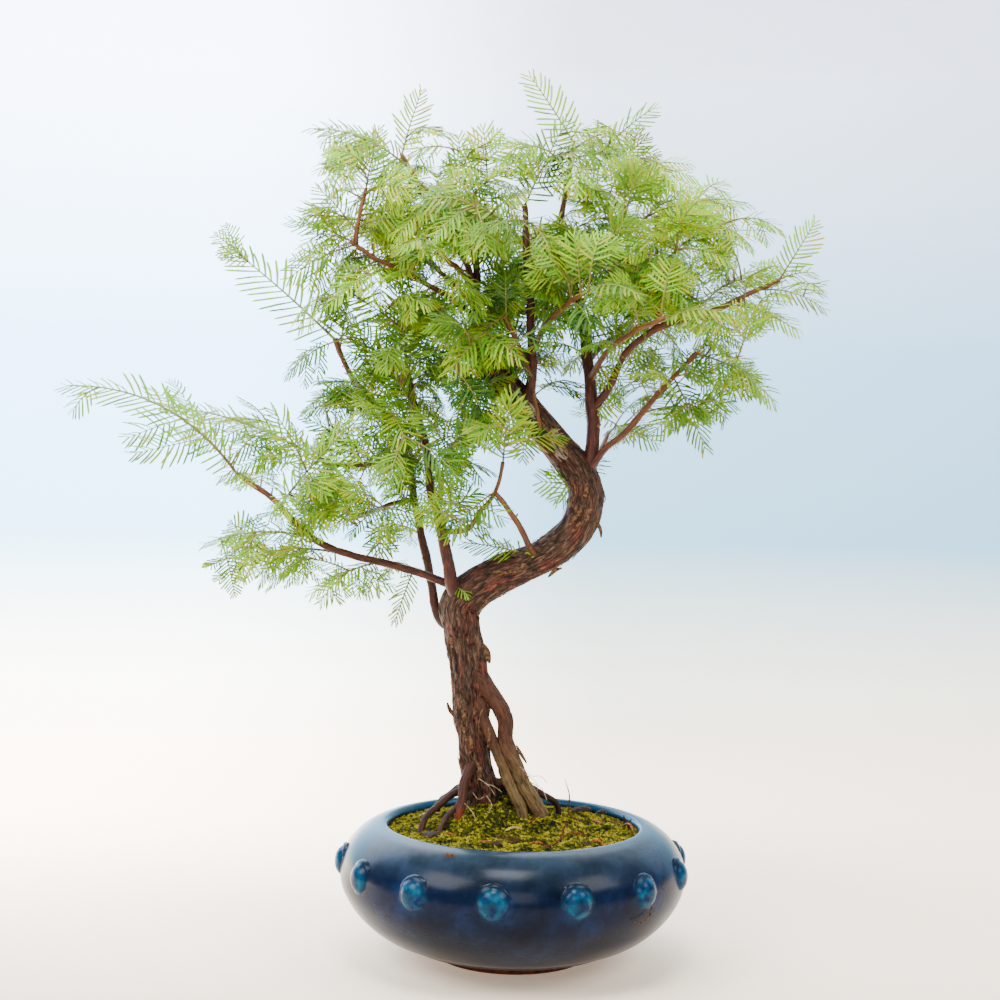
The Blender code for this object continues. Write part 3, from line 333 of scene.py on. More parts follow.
# Small sprays that are seen by themselves: (foot x, z), (tip x, z), depth of the tip from the foot,
# facing, needle length, pairs of side sprays
SMALL_SPRAYS = [
    ((-129, 525), (-150, 553), -8, 60, 17, 0), ((190, 500), (212, 504), 6, 50, 14, 0),
    ((-144, 454), (-118, 470), -20, 60, 14, 1), ((-66, 332), (-52, 352), -20, 60, 14, 1),
    ((133, 472), (146, 445), -12, 60, 17, 0), ((110, 424), (150, 430), -14, 55, 18, 1),
    ((78, 385), (97, 376), -10, 60, 15, 0), ((-66, 345), (-40, 352), -26, 70, 19, 1),
    ((39, 312), (16, 346), -20, 75, 19, 1), ((4, 284), (-40, 300), 16, 50, 15, 1),
    ((-84, 400), (-124, 458), -18, 60, 18, 1), ((-86, 428), (-92, 480), 14, 60, 18, 1),
    ((-76, 388), (-102, 434), -30, 60, 17, 1), ((-71, 374), (-100, 402), -26, 60, 16, 1),
    ((-80, 350), (-84, 386), -20, 65, 15, 1), ((-48, 266), (-38, 262), -16, 55, 9, 0),
    ((12, 288), (8, 294), -8, 60, 6, 0), ((-60, 318), (-34, 336), -12, 75, 16, 0),
    ((53, 400), (74, 404), -14, 60, 14, 0), ((50, 430), (72, 432), -22, 60, 16, 1),
    ((44, 350), (62, 366), 16, 60, 13, 0), ((-20, 428), (-50, 408), -24, 60, 18, 1),
    ((-30, 440), (-62, 446), -24, 50, 18, 1), ((18, 386), (2, 366), 26, 60, 17, 1),
]

# Sprays that fill the crown: (centre, half sizes, how many, needle length, youth)
# Youth is high at the top and outer edge and low deep inside the crown: partly the needles' age, partly
# painted light and shade.
CROWN_FILL = [
    ((-108, -14, 584), (36, 26, 16), 6, 16, 0.9), ((-100, -22, 552), (32, 36, 20), 14, 17, 0.75),
    ((-60, -6, 578), (30, 30, 20), 13, 17, 0.85), ((-98, -18, 522), (44, 40, 20), 28, 17, 0.6),
    ((-46, -18, 536), (34, 46, 18), 24, 18, 0.7), ((-104, -16, 486), (40, 44, 22), 17, 17, 0.45),
    ((4, -20, 570), (30, 34, 22), 8, 18, 0.85), ((58, -6, 594), (34, 34, 20), 10, 18, 0.9),
    ((96, -10, 558), (34, 40, 20), 12, 18, 0.85), ((44, -16, 540), (34, 50, 20), 24, 18, 0.6),
    ((-2, -24, 504), (40, 56, 22), 28, 18, 0.4), ((66, -28, 506), (40, 54, 22), 28, 18, 0.55),
    ((128, -28, 512), (38, 44, 22), 17, 17, 0.8), ((172, -30, 496), (30, 30, 22), 6, 16, 0.85),
    ((92, -34, 474), (44, 46, 20), 18, 17, 0.5), ((140, -36, 452), (38, 36, 22), 4, 17, 0.55),
    ((20, -20, 462), (36, 54, 22), 28, 18, 0.2), ((-40, -20, 468), (34, 50, 20), 22, 18, 0.3),
    ((-10, -24, 424), (34, 44, 18), 20, 17, 0.15), ((-62, -20, 420), (34, 44, 22), 18, 17, 0.35),
    ((-112, -6, 420), (34, 40, 24), 16, 17, 0.5), ((96, -24, 414), (34, 34, 20), 4, 17, 0.5),
    ((134, -32, 410), (28, 30, 20), 3, 17, 0.6), ((-72, -24, 372), (36, 40, 26), 16, 17, 0.35),
    ((-24, -30, 378), (34, 34, 26), 14, 17, 0.35), ((-72, -20, 328), (30, 34, 20), 12, 16, 0.4),
    ((-128, -14, 326), (34, 30, 16), 18, 15, 0.7), ((-176, -24, 346), (34, 30, 26), 5, 17, 0.8),
    ((-176, -14, 292), (40, 30, 14), 8, 15, 0.75), ((-112, -16, 284), (34, 30, 14), 6, 15, 0.6),
    ((-24, 70, 490), (70, 40, 50), 18, 18, 0.5), ((80, 70, 484), (60, 40, 46), 13, 18, 0.5),
    ((-92, 60, 412), (40, 40, 56), 14, 17, 0.4), ((84, 60, 410), (36, 40, 22), 4, 17, 0.4),
]
FILL_SEED = 7
SHORTEST_TWIG, LONGEST_TWIG = 6.0, 38.0
OPEN_WINDOW = (-14, -150, 346), (52, 2, 428)   # free of filling sprays, so that the trunk shows


def linear(colour):
    """Linear red, green, blue and alpha of an sRGB hex colour."""
    channels = [int(colour[i:i + 2], 16) / 255 for i in (0, 2, 4)]
    return [c / 12.92 if c <= 0.04045 else ((c + 0.055) / 1.055) ** 2.4 for c in channels] + [1.0]


def feed(tree, node, inputs):
    """Set a node's sockets, each to a value or from the node or output that feeds it."""
    for key, value in inputs.items():
        if isinstance(value, bpy.types.Node):
            value = value.outputs[0]
        if isinstance(value, bpy.types.NodeSocket):
            tree.links.new(value, node.inputs[key])
        else:
            node.inputs[key].default_value = value


def add(tree, kind, inputs=None, stops=(), **settings):
    """Add a node with its settings, what feeds it and, where it is a ramp, its stops."""
    made = tree.nodes.new(kind)
    for key, value in settings.items():
        setattr(made, key, value)
    feed(tree, made, inputs or {})
    for i, (place, colour) in enumerate(stops):
        stop = made.color_ramp.elements[i] if i < 2 else made.color_ramp.elements.new(place)
        stop.position = place
        stop.color = linear(colour)
    return made


def surface(name, **values):
    """A new material, its tree and its shader, with the values that are the same all over it."""
    made = bpy.data.materials.new(name)
    made.use_nodes = True
    shader = made.node_tree.nodes["Principled BSDF"]
    feed(made.node_tree, shader, {key.replace("_", " "): value for key, value in values.items()})
    return made, made.node_tree, shader


def put(name, data):
    obj = bpy.data.objects.new(name, data)
    bpy.context.scene.collection.objects.link(obj)
    return obj


def plain(obj):
    """Replace an object and its modifiers by the plain mesh that it shows."""
    depsgraph = bpy.context.evaluated_depsgraph_get()
    depsgraph.update()
    mesh = bpy.data.meshes.new_from_object(obj.evaluated_get(depsgraph))
    name = obj.name
    bpy.data.objects.remove(obj)
    return put(name, mesh)


def run_nodes(obj, tree, values):
    """Set the tree's named inputs on an object, run it and keep the plain mesh."""
    modifier = obj.modifiers.new(tree.name, "NODES")
    modifier.node_group = tree
    for item in tree.interface.items_tree:
        if item.in_out == "INPUT" and item.name in values:
            modifier[item.identifier] = values[item.name]
    return plain(obj)


def store(mesh, values):
    """Write named numbers or vectors to the mesh's points."""
    for key, numbers in values.items():
        if isinstance(numbers[0], (int, float)):
            mesh.attributes.new(key, "FLOAT", "POINT").data.foreach_set("value", numbers)
        else:
            flat = [number for vector in numbers for number in vector]
            mesh.attributes.new(key, "FLOAT_VECTOR", "POINT").data.foreach_set("vector", flat)


class Shell:
    """Vertices, edges and faces of one piece in millimetres, with named values at each vertex."""

    def __init__(self):
        self.verts, self.edges, self.faces, self.values = [], [], [], {}

    def add(self, places, faces, **values):
        first = len(self.verts)
        self.verts += places
        self.faces += [tuple(first + i for i in face) for face in faces]
        for name, numbers in values.items():
            self.values.setdefault(name, []).extend(numbers)

    def build(self, name, *surfaces, smooth=True):
        mesh = bpy.data.meshes.new(name)
        mesh.from_pydata([Vector(place) * MM for place in self.verts], self.edges, self.faces)
        store(mesh, self.values)
        for made in surfaces:
            mesh.materials.append(made)
        if smooth:
            mesh.shade_smooth()
        return put(name, mesh)


def flowing(rows, step):
    """Rows of numbers on a smooth curve through the given rows, about a step apart in space."""
    rows = [Vector(row) for row in rows]
    rows = [rows[0] * 2 - rows[1]] + rows + [rows[-1] * 2 - rows[-2]]
    found = []
    for a, b, c, d in zip(rows, rows[1:], rows[2:], rows[3:]):
        count = max(1, round((c - b).length / step))
        for i in range(count):
            t = i / count
            found.append((b * 2 + (c - a) * t + (a * 2 - b * 5 + c * 4 - d) * t * t
                          + (b * 3 - a - c * 3 + d) * t ** 3) / 2)
    return found + [rows[-2]]


def with_radii(route, start, end):
    """The route's points as (x, y, z, radius), with an even taper."""
    last = len(route) - 1
    return [(*place, start + (end - start) * i / last) for i, place in enumerate(route)]


def tube(shell, rows, sides, relief):
    """A closed stem through rows of (x, y, z, radius). relief gives the bark's height and its tone."""
    places, grain, tones, thick = [], [], [], []
    across = Vector((1, 0, 0))
    along = 0.0
    for i, row in enumerate(rows):
        point = row.xyz
        before, after = rows[max(i - 1, 0)].xyz, rows[min(i + 1, len(rows) - 1)].xyz
        tangent = (after - before).normalized()
        across = (across - tangent * across.dot(tangent)).normalized()
        upward = tangent.cross(across)
        along += (point - rows[i - 1].xyz).length if i else 0.0
        for k in range(sides):
            angle = math.tau * k / sides
            raised, tone = relief(angle, along, row.w)
            radius = row.w + raised
            places.append(point + (across * math.cos(angle) + upward * math.sin(angle)) * radius)
            grain.append((math.cos(angle) * row.w, math.sin(angle) * row.w, along))
            tones.append(tone)
            thick.append(row.w)
    faces = []
    for i in range(len(rows) - 1):
        for k in range(sides):
            j = (k + 1) % sides
            faces.append((i * sides + k, i * sides + j, (i + 1) * sides + j, (i + 1) * sides + k))
    faces.append(tuple(reversed(range(sides))))
    faces.append(tuple(range((len(rows) - 1) * sides, len(rows) * sides)))
    shell.add(places, faces, grain=grain, tone=tones, thick=thick)


def make_camera():
    camera = put("camera", bpy.data.cameras.new("camera"))
    camera.data.lens = CAMERA_LENS
    camera.data.clip_start = 0.05
    camera.matrix_world = (Matrix.Translation(Vector(CAMERA_PLACE) * MM)
                           @ Matrix.Rotation(math.radians(90 + CAMERA_PITCH), 4, "X")
                           @ Matrix.Rotation(math.radians(CAMERA_ROLL), 4, "Z"))
    bpy.context.scene.camera = camera


def make_studio():
    """A pale floor that sweeps up behind, with soft lights behind, at each side, in front and on top."""
    sweep = [math.pi / 2 * i / SWEEP_STEPS for i in range(1, SWEEP_STEPS + 1)]
    rows = [(FLOOR_FRONT, 0), (FLOOR_BACK, 0)]
    rows += [(FLOOR_BACK + SWEEP_RADIUS * math.sin(t), SWEEP_RADIUS - SWEEP_RADIUS * math.cos(t))
             for t in sweep]
    rows.append((FLOOR_BACK + SWEEP_RADIUS, WALL_TOP))
    shell = Shell()
    places = [(x, y, z - FLOOR_DROP) for y, z in rows for x in (-BACKDROP_HALF_WIDTH, BACKDROP_HALF_WIDTH)]
    faces = [(2 * i, 2 * i + 1, 2 * i + 3, 2 * i + 2) for i in range(len(rows) - 1)]
    shell.add(places, faces)
    # Painted board: matt and even, warm white below and pale blue higher up. The wall is lit from within,
    # more at the left, and the floor only well behind the pot, so that the glaze doesn't mirror it.
    paper, tree, shader = surface("painted_backdrop", Roughness=0.9)
    where = add(tree, "ShaderNodeSeparateXYZ", {0: add(tree, "ShaderNodeTexCoord").outputs["Object"]})
    share = add(tree, "ShaderNodeMapRange", {"Value": where.outputs["Z"], "From Min": 0.0, "From Max": 1.4})
    colour = add(tree, "ShaderNodeValToRGB", {0: share}, stops=[
        (0.0, "FFE9CF"), (0.05, "F0EEDA"), (0.22, "86BAD6"), (0.5, "92C0E6"), (0.9, "D8E6FF")])
    left = add(tree, "ShaderNodeMapRange", {"Value": where.outputs["X"], "From Min": -0.6, "From Max": 0.2,
                                            "To Min": 9.0, "To Max": 1.8}, interpolation_type="SMOOTHSTEP")
    behind = add(tree, "ShaderNodeMapRange", {"Value": where.outputs["Y"], "From Min": -0.2, "From Max": 0.5},
                 interpolation_type="SMOOTHSTEP")
    glow = add(tree, "ShaderNodeMath", {0: left, 1: behind}, operation="MULTIPLY")
    feed(tree, shader, {"Base Color": colour, "Emission Color": colour, "Emission Strength": glow})
    shell.build("pale_floor", paper)
    for name, place, size, power in STUDIO_LIGHTS:
        light = bpy.data.lights.new(name, "AREA")
        light.size = size * MM
        light.energy = power
        lamp = put(name, light)
        lamp.location = Vector(place) * MM
        lamp.rotation_euler = (Vector(LIT_PLACE) - Vector(place)).to_track_quat("-Z", "Y").to_euler()
    world = bpy.data.worlds.new("soft_room")
    world.use_nodes = True
    world.node_tree.nodes["Background"].inputs[0].default_value = linear("E9F3FC")
    world.node_tree.nodes["Background"].inputs[1].default_value = ROOM_LIGHT
    bpy.context.scene.world = world


def glazed_stoneware():
    """Stoneware dipped in a deep blue glaze: glossy, mottled, and paler where it ran thin on an edge.

    The studs broke to turquoise, the foot is bare brown clay, and painted reflections grey the lower wall and
    pale the shoulder.
    """
    made, tree, shader = surface("blue_glazed_stoneware", IOR=1.42, Specular_IOR_Level=0.12)
    where = add(tree, "ShaderNodeTexCoord").outputs["Object"]
    height = add(tree, "ShaderNodeSeparateXYZ", {0: where}).outputs["Z"]
    stud, lip = (add(tree, "ShaderNodeAttribute", attribute_name=name).outputs["Fac"]
                 for name in ("stud", "lip"))
    # The clouds in the glaze are 30 mm across, and the flecks 6 mm.
    cloud = add(tree, "ShaderNodeTexNoise", {"Vector": where, "Scale": 1 / (30 * MM), "Detail": 6.0,
                                             "Roughness": 0.65})
    fleck = add(tree, "ShaderNodeTexNoise", {"Vector": where, "Scale": 1 / (6 * MM), "Detail": 4.0})
    # grey and pale are painted reflections: grey for the pale floor mirrored on the lower wall, pale for the
    # lamps mirrored on the shoulder.
    deep, grey, pale = (add(tree, "ShaderNodeValToRGB", {0: cloud}, stops=stops) for stops in (
        [(0.34, "040A18"), (0.52, "07132A"), (0.7, "0E2142")],
        [(0.34, "0C1118"), (0.68, "1A212C")],
        [(0.34, "17222B"), (0.68, "2B3B45")]))
    turquoise, clay = (add(tree, "ShaderNodeValToRGB", {0: fleck}, stops=stops) for stops in (
        [(0.36, "051E48"), (0.64, "0C5870")],
        [(0.35, "3A1A10"), (0.65, "6A3420")]))
    # low marks the lower wall for the painted floor reflection, and high the shoulder for the painted lamp
    # reflection.
    low, high = (add(tree, "ShaderNodeMapRange", {"Value": height, "From Min": start * MM,
                                                  "From Max": end * MM, "To Max": 0.8})
                 for start, end in ((56, 16), (72, 94)))
    ring = add(tree, "ShaderNodeValToRGB", {0: stud}, stops=[
        (0.0, "000000"), (0.3, "606060"), (0.62, "E0E0E0"), (1.0, "606060")])
    edge = add(tree, "ShaderNodeMath", {0: cloud, 1: 2 * MM, 2: 9.0 * MM}, operation="MULTIPLY_ADD")
    bare = add(tree, "ShaderNodeMath", {0: height, 1: edge}, operation="LESS_THAN")
    colour = deep
    for share, over in ((low, grey), (high, pale), (ring, turquoise), (lip, linear("1E4C66")), (bare, clay)):
        colour = add(tree, "ShaderNodeMix", {0: share, 6: colour, 7: over}, data_type="RGBA").outputs[2]
    gloss = add(tree, "ShaderNodeMapRange", {"Value": cloud, "To Min": 0.12, "To Max": 0.34})
    rough = add(tree, "ShaderNodeMix", {0: bare, 2: gloss, 3: 0.85})
    bump = add(tree, "ShaderNodeBump", {"Height": cloud, "Distance": 0.4 * MM, "Strength": 0.3})
    feed(tree, shader, {"Base Color": colour, "Roughness": rough, "Normal": bump})
    return made


def fibrous_bark():
    """Old bark: grey-brown plates and fibres over red inner bark, with a dull shine, dark in the cracks
    partly as painted shade.
    """
    made, tree, shader = surface("fibrous_bark", IOR=1.45, Specular_IOR_Level=0.35)
    grain = add(tree, "ShaderNodeAttribute", attribute_name="grain").outputs["Vector"]
    tone, scar = (add(tree, "ShaderNodeAttribute", attribute_name=name).outputs["Fac"]
                  for name in ("tone", "scar"))
    # The fibres are 1 mm apart and about 8 mm long, the plates 5 mm wide and 16 mm long, and the red
    # patches 8 mm wide and 22 mm long.
    fine, flake, wide = (add(tree, "ShaderNodeMapping", {"Vector": grain, "Scale": scale})
                         for scale in ((1.0, 1.0, 0.13), (0.2, 0.2, 0.062), (0.12, 0.12, 0.045)))
    fibre = add(tree, "ShaderNodeTexNoise", {"Vector": fine, "Scale": 1.0, "Detail": 5.0, "Roughness": 0.65,
                                             "Distortion": 0.8})
    patch = add(tree, "ShaderNodeTexNoise", {"Vector": wide, "Scale": 1.0, "Detail": 3.0, "Distortion": 0.6})
    warp = add(tree, "ShaderNodeVectorMath", {0: flake, 1: fibre.outputs["Color"]}, operation="ADD")
    seam = add(tree, "ShaderNodeTexVoronoi", {"Vector": warp, "Scale": 1.0}, feature="DISTANCE_TO_EDGE")
    grey, red = (add(tree, "ShaderNodeValToRGB", {0: fibre}, stops=stops) for stops in (
        [(0.34, "130A06"), (0.5, "3C2618"), (0.68, "74543A")],
        [(0.34, "1C0A05"), (0.52, "4E2012"), (0.7, "7E442C")]))
    inner = add(tree, "ShaderNodeMapRange", {"Value": patch, "From Min": 0.49, "From Max": 0.6,
                                             "To Max": 0.9})
    split = add(tree, "ShaderNodeMapRange", {"Value": seam, "From Min": 0.0, "From Max": 0.09})
    # Painted shade in the cracks, over the darker bark in them: the deeper the relief's crack and the nearer
    # a plate's seam, the darker.
    depth = add(tree, "ShaderNodeMath", {0: tone, 1: split}, operation="MULTIPLY")
    crack_and_shade = add(tree, "ShaderNodeMapRange", {"Value": depth, "From Min": 0.5, "From Max": 0.0,
                                             "To Max": 0.92})
    worn = add(tree, "ShaderNodeMath", {0: scar, 1: fibre}, operation="MULTIPLY")
    worn = add(tree, "ShaderNodeMapRange", {"Value": worn, "From Min": 0.42, "From Max": 0.6, "To Max": 0.7})
    colour = grey
    for share, over in ((inner, red), (crack_and_shade, linear("0E0704")), (worn, linear("B7A794"))):
        colour = add(tree, "ShaderNodeMix", {0: share, 6: colour, 7: over}, data_type="RGBA").outputs[2]
    rise = add(tree, "ShaderNodeMath", {0: split, 1: 0.6, 2: fibre}, operation="MULTIPLY_ADD")
    bump = add(tree, "ShaderNodeBump", {"Height": rise, "Distance": 0.8 * MM, "Strength": 0.9})
    gloss = add(tree, "ShaderNodeMapRange", {"Value": fibre, "From Min": 0.4, "From Max": 0.62,
                                             "To Min": 0.85, "To Max": 0.5})
    feed(tree, shader, {"Base Color": colour, "Normal": bump, "Roughness": gloss})
    return made


def shoot_bark():
    """Bark of young wood: thin, dark red-brown and slightly glossy where it is thick, tan at the tips."""
    made, tree, shader = surface("shoot_bark", Roughness=0.55, Specular_IOR_Level=0.3)
    grain = add(tree, "ShaderNodeAttribute", attribute_name="grain").outputs["Vector"]
    tone, thick = (add(tree, "ShaderNodeAttribute", attribute_name=name).outputs["Fac"]
                   for name in ("tone", "thick"))
    # The fibres are 1 mm apart and about 8 mm long.
    fine = add(tree, "ShaderNodeMapping", {"Vector": grain, "Scale": (0.9, 0.9, 0.12)})
    fibre = add(tree, "ShaderNodeTexNoise", {"Vector": fine, "Scale": 1.0, "Detail": 4.0, "Roughness": 0.6})
    old, young = (add(tree, "ShaderNodeValToRGB", {0: fibre}, stops=stops) for stops in (
        [(0.3, "1A0A06"), (0.55, "40180E"), (0.75, "6A3220")],
        [(0.3, "4A2812"), (0.7, "7E5228")]))
    age = add(tree, "ShaderNodeMapRange", {"Value": thick, "From Min": 1.5, "From Max": 2.9})
    # Painted shade in the relief's cracks, over the darker bark in them.
    crack_and_shade = add(tree, "ShaderNodeMapRange", {"Value": tone, "From Min": 0.35, "From Max": 0.0, "To Max": 0.8})
    colour = young
    for share, over in ((age, old), (crack_and_shade, linear("1A0D09"))):
        colour = add(tree, "ShaderNodeMix", {0: share, 6: colour, 7: over}, data_type="RGBA").outputs[2]
    bump = add(tree, "ShaderNodeBump", {"Height": fibre, "Distance": 0.3 * MM, "Strength": 0.6})
    feed(tree, shader, {"Base Color": colour, "Normal": bump})
    return made


def root_bark(name, upper, lower, heights):
    """Bark of a bared root: ridged lengthways, with one colour high up and another near the moss."""
    made, tree, shader = surface(name, Roughness=0.72, Specular_IOR_Level=0.2)
    grain = add(tree, "ShaderNodeAttribute", attribute_name="grain").outputs["Vector"]
    tone = add(tree, "ShaderNodeAttribute", attribute_name="tone").outputs["Fac"]
    place = add(tree, "ShaderNodeTexCoord").outputs["Object"]
    height = add(tree, "ShaderNodeSeparateXYZ", {0: place}).outputs["Z"]
    # The fibres are 1 mm apart and about 11 mm long.
    fine = add(tree, "ShaderNodeMapping", {"Vector": grain, "Scale": (0.9, 0.9, 0.09)})
    fibre = add(tree, "ShaderNodeTexNoise", {"Vector": fine, "Scale": 1.0, "Detail": 4.0, "Roughness": 0.6})
    high, low = (add(tree, "ShaderNodeValToRGB", {0: fibre}, stops=[(0.3, dark), (0.7, light)])
                 for dark, light in (upper, lower))
    uneven = add(tree, "ShaderNodeMath", {0: fibre, 1: 30 * MM, 2: height}, operation="MULTIPLY_ADD")
    start, end = (height_in_mm * MM for height_in_mm in heights)
    down = add(tree, "ShaderNodeMapRange", {"Value": uneven, "From Min": start, "From Max": end})
    # Painted shade in the relief's cracks, over the darker bark in them.
    crack_and_shade = add(tree, "ShaderNodeMapRange", {"Value": tone, "From Min": 0.4, "From Max": 0.0, "To Max": 0.85})
    colour = high
    for share, over in ((down, low), (crack_and_shade, linear("1E130D"))):
        colour = add(tree, "ShaderNodeMix", {0: share, 6: colour, 7: over}, data_type="RGBA").outputs[2]
    bump = add(tree, "ShaderNodeBump", {"Height": fibre, "Distance": 0.8 * MM, "Strength": 0.9})
    feed(tree, shader, {"Base Color": colour, "Normal": bump})
    return made


def needle_skin(name, old, fresh):
    """Soft waxy needles: thin enough to glow a little, deeper green when old and where painted shade sets
    youth low, some browned at the tip.
    """
    made, tree, shader = surface(name, Roughness=0.5, Specular_IOR_Level=0.25, Subsurface_Weight=0.06,
                                 Subsurface_Scale=0.6 * MM)
    tone, youth, along = (add(tree, "ShaderNodeAttribute", attribute_name=key).outputs["Fac"]
                          for key in ("tone", "youth", "along"))
    mature, bright = (add(tree, "ShaderNodeValToRGB", {0: tone}, stops=zip((0.0, 0.5, 1.0), shades))
                      for shades in (old, fresh))
    # About one needle in fourteen is bronzed over its last third.
    dry = add(tree, "ShaderNodeMapRange", {"Value": tone, "From Min": 0.9, "From Max": 0.96})
    end = add(tree, "ShaderNodeMapRange", {"Value": along, "From Min": 0.62, "From Max": 0.95,
                                           "To Max": 0.85})
    browned = add(tree, "ShaderNodeMath", {0: dry, 1: end}, operation="MULTIPLY")
    colour = mature
    for share, over in ((youth, bright), (browned, linear("96662C"))):
        colour = add(tree, "ShaderNodeMix", {0: share, 6: colour, 7: over}, data_type="RGBA").outputs[2]
    feed(tree, shader, {"Base Color": colour})
    return made


def green_stem():
    """Stem of a leafy spray: green and fleshy near its tip, tan and woody at its foot."""
    made, tree, shader = surface("green_stem", Roughness=0.5, IOR=1.45)
    woody = add(tree, "ShaderNodeAttribute", attribute_name="woody").outputs["Fac"]
    where = add(tree, "ShaderNodeTexCoord").outputs["Object"]
    mottle = add(tree, "ShaderNodeTexNoise", {"Vector": where, "Scale": 1 / (4 * MM), "Detail": 2.0})
    green, tan = (add(tree, "ShaderNodeValToRGB", {0: mottle}, stops=[(0.3, dark), (0.7, light)])
                  for dark, light in (("5C7E22", "86A23A"), ("4E3018", "82562E")))
    colour = add(tree, "ShaderNodeMix", {0: woody, 6: green, 7: tan}, data_type="RGBA").outputs[2]
    feed(tree, shader, {"Base Color": colour})
    return made


def living_moss():
    """Cushion moss: matt, yellow-green where fresh, dark green with painted shade between sprigs, a few brown
    spots.
    """
    made, tree, shader = surface("living_moss", Roughness=0.9, Specular_IOR_Level=0.1)
    where = add(tree, "ShaderNodeTexCoord").outputs["Object"]
    tone = add(tree, "ShaderNodeAttribute", attribute_name="tone").outputs["Fac"]
    # The greens change over 13 mm, and the brown spots over 22 mm.
    cushion = add(tree, "ShaderNodeTexNoise", {"Vector": where, "Scale": 1 / (13 * MM), "Detail": 4.0,
                                               "Roughness": 0.6})
    spot = add(tree, "ShaderNodeTexNoise", {"Vector": where, "Scale": 1 / (22 * MM), "Detail": 2.0})
    # On the bed tone is nothing, so its colour stays at the dark end: painted shade in the gaps between the
    # sprigs.
    mixed = add(tree, "ShaderNodeMath", {0: tone, 1: 0.42, 2: cushion}, operation="MULTIPLY_ADD")
    green = add(tree, "ShaderNodeValToRGB", {0: mixed}, stops=[
        (0.44, "0E1002"), (0.6, "2A3006"), (0.76, "5A5A0C"), (0.98, "A89A2C")])
    brown = add(tree, "ShaderNodeMapRange", {"Value": spot, "From Min": 0.62, "From Max": 0.7, "To Max": 0.7})
    colour = add(tree, "ShaderNodeMix", {0: brown, 6: green, 7: linear("4A3319")},
                 data_type="RGBA").outputs[2]
    feed(tree, shader, {"Base Color": colour})
    return made


def mottled(name, size, detail, stops, **values):
    """A material with patches of a size in millimetres: also its tree, its shader and the patches' node."""
    made, tree, shader = surface(name, **values)
    where = add(tree, "ShaderNodeTexCoord").outputs["Object"]
    patch = add(tree, "ShaderNodeTexNoise", {"Vector": where, "Scale": 1 / (size * MM), "Detail": detail})
    feed(tree, shader, {"Base Color": add(tree, "ShaderNodeValToRGB", {0: patch}, stops=stops)})
    return made, tree, shader, patch


def damp_soil():
    """Potting soil: dark, damp and crumbly, with paler grit."""
    shades = [(0.35, "1E150F"), (0.6, "3F2D20"), (0.75, "7A664E")]
    made, tree, shader, crumb = mottled("damp_soil", 2.5, 5.0, shades, Roughness=0.95)
    feed(tree, shader, {"Normal": add(tree, "ShaderNodeBump", {"Height": crumb, "Distance": 1.5 * MM})})
    return made


def moulded_plastic():
    """Drain mesh: black moulded polyethylene, softly shining and a little scuffed."""
    shades = [(0.4, "141516"), (0.7, "2A2C2E")]
    made, tree, shader, scuff = mottled("moulded_polyethylene", 3, 3.0, shades, IOR=1.5)
    rough = add(tree, "ShaderNodeMapRange", {"Value": scuff, "To Min": 0.35, "To Max": 0.6})
    feed(tree, shader, {"Roughness": rough})
    return made


def dry_litter(name, dark, light):
    """Dead plant bits: dry and matt, in one family of browns."""
    return mottled(name, 2, 3.0, [(0.35, dark), (0.65, light)], Roughness=0.8, Specular_IOR_Level=0.12)[0]


def lathe(name, profile, sides):
    """Turn a profile of (radius, height) about Z, from axis to axis, with the outside on its left."""
    turns = [math.tau * k / sides for k in range(sides)]
    places, faces, starts = [], [], []
    for radius, height in profile:
        starts.append(len(places))
        places += [(radius * math.sin(turn), -radius * math.cos(turn), height)
                   for turn in (turns if radius else turns[:1])]
    for (low, a), (high, b) in itertools.pairwise(zip(starts, profile)):
        for k in range(sides):
            j = (k + 1) % sides
            one, two = (low + k, low + j) if a[0] else (low, low)
            three, four = (high + j, high + k) if b[0] else (high, high)
            faces.append(tuple(dict.fromkeys((one, four, three, two))))
    shell = Shell()
    shell.add(places, faces)
    return shell.build(name)


def combine(obj, others, operation):
    """Join other objects to one object, or cut them from it, and drop them."""
    group = bpy.data.collections.new("tools")
    bpy.context.scene.collection.children.link(group)
    for other in others:
        bpy.context.scene.collection.objects.unlink(other)
        group.objects.link(other)
    change = obj.modifiers.new(operation.title(), "BOOLEAN")
    change.operation = operation
    change.operand_type = "COLLECTION"
    change.collection = group
    change.solver = "EXACT"
    done = plain(obj)
    for other in others:
        bpy.data.objects.remove(other)
    bpy.data.collections.remove(group)
    return done


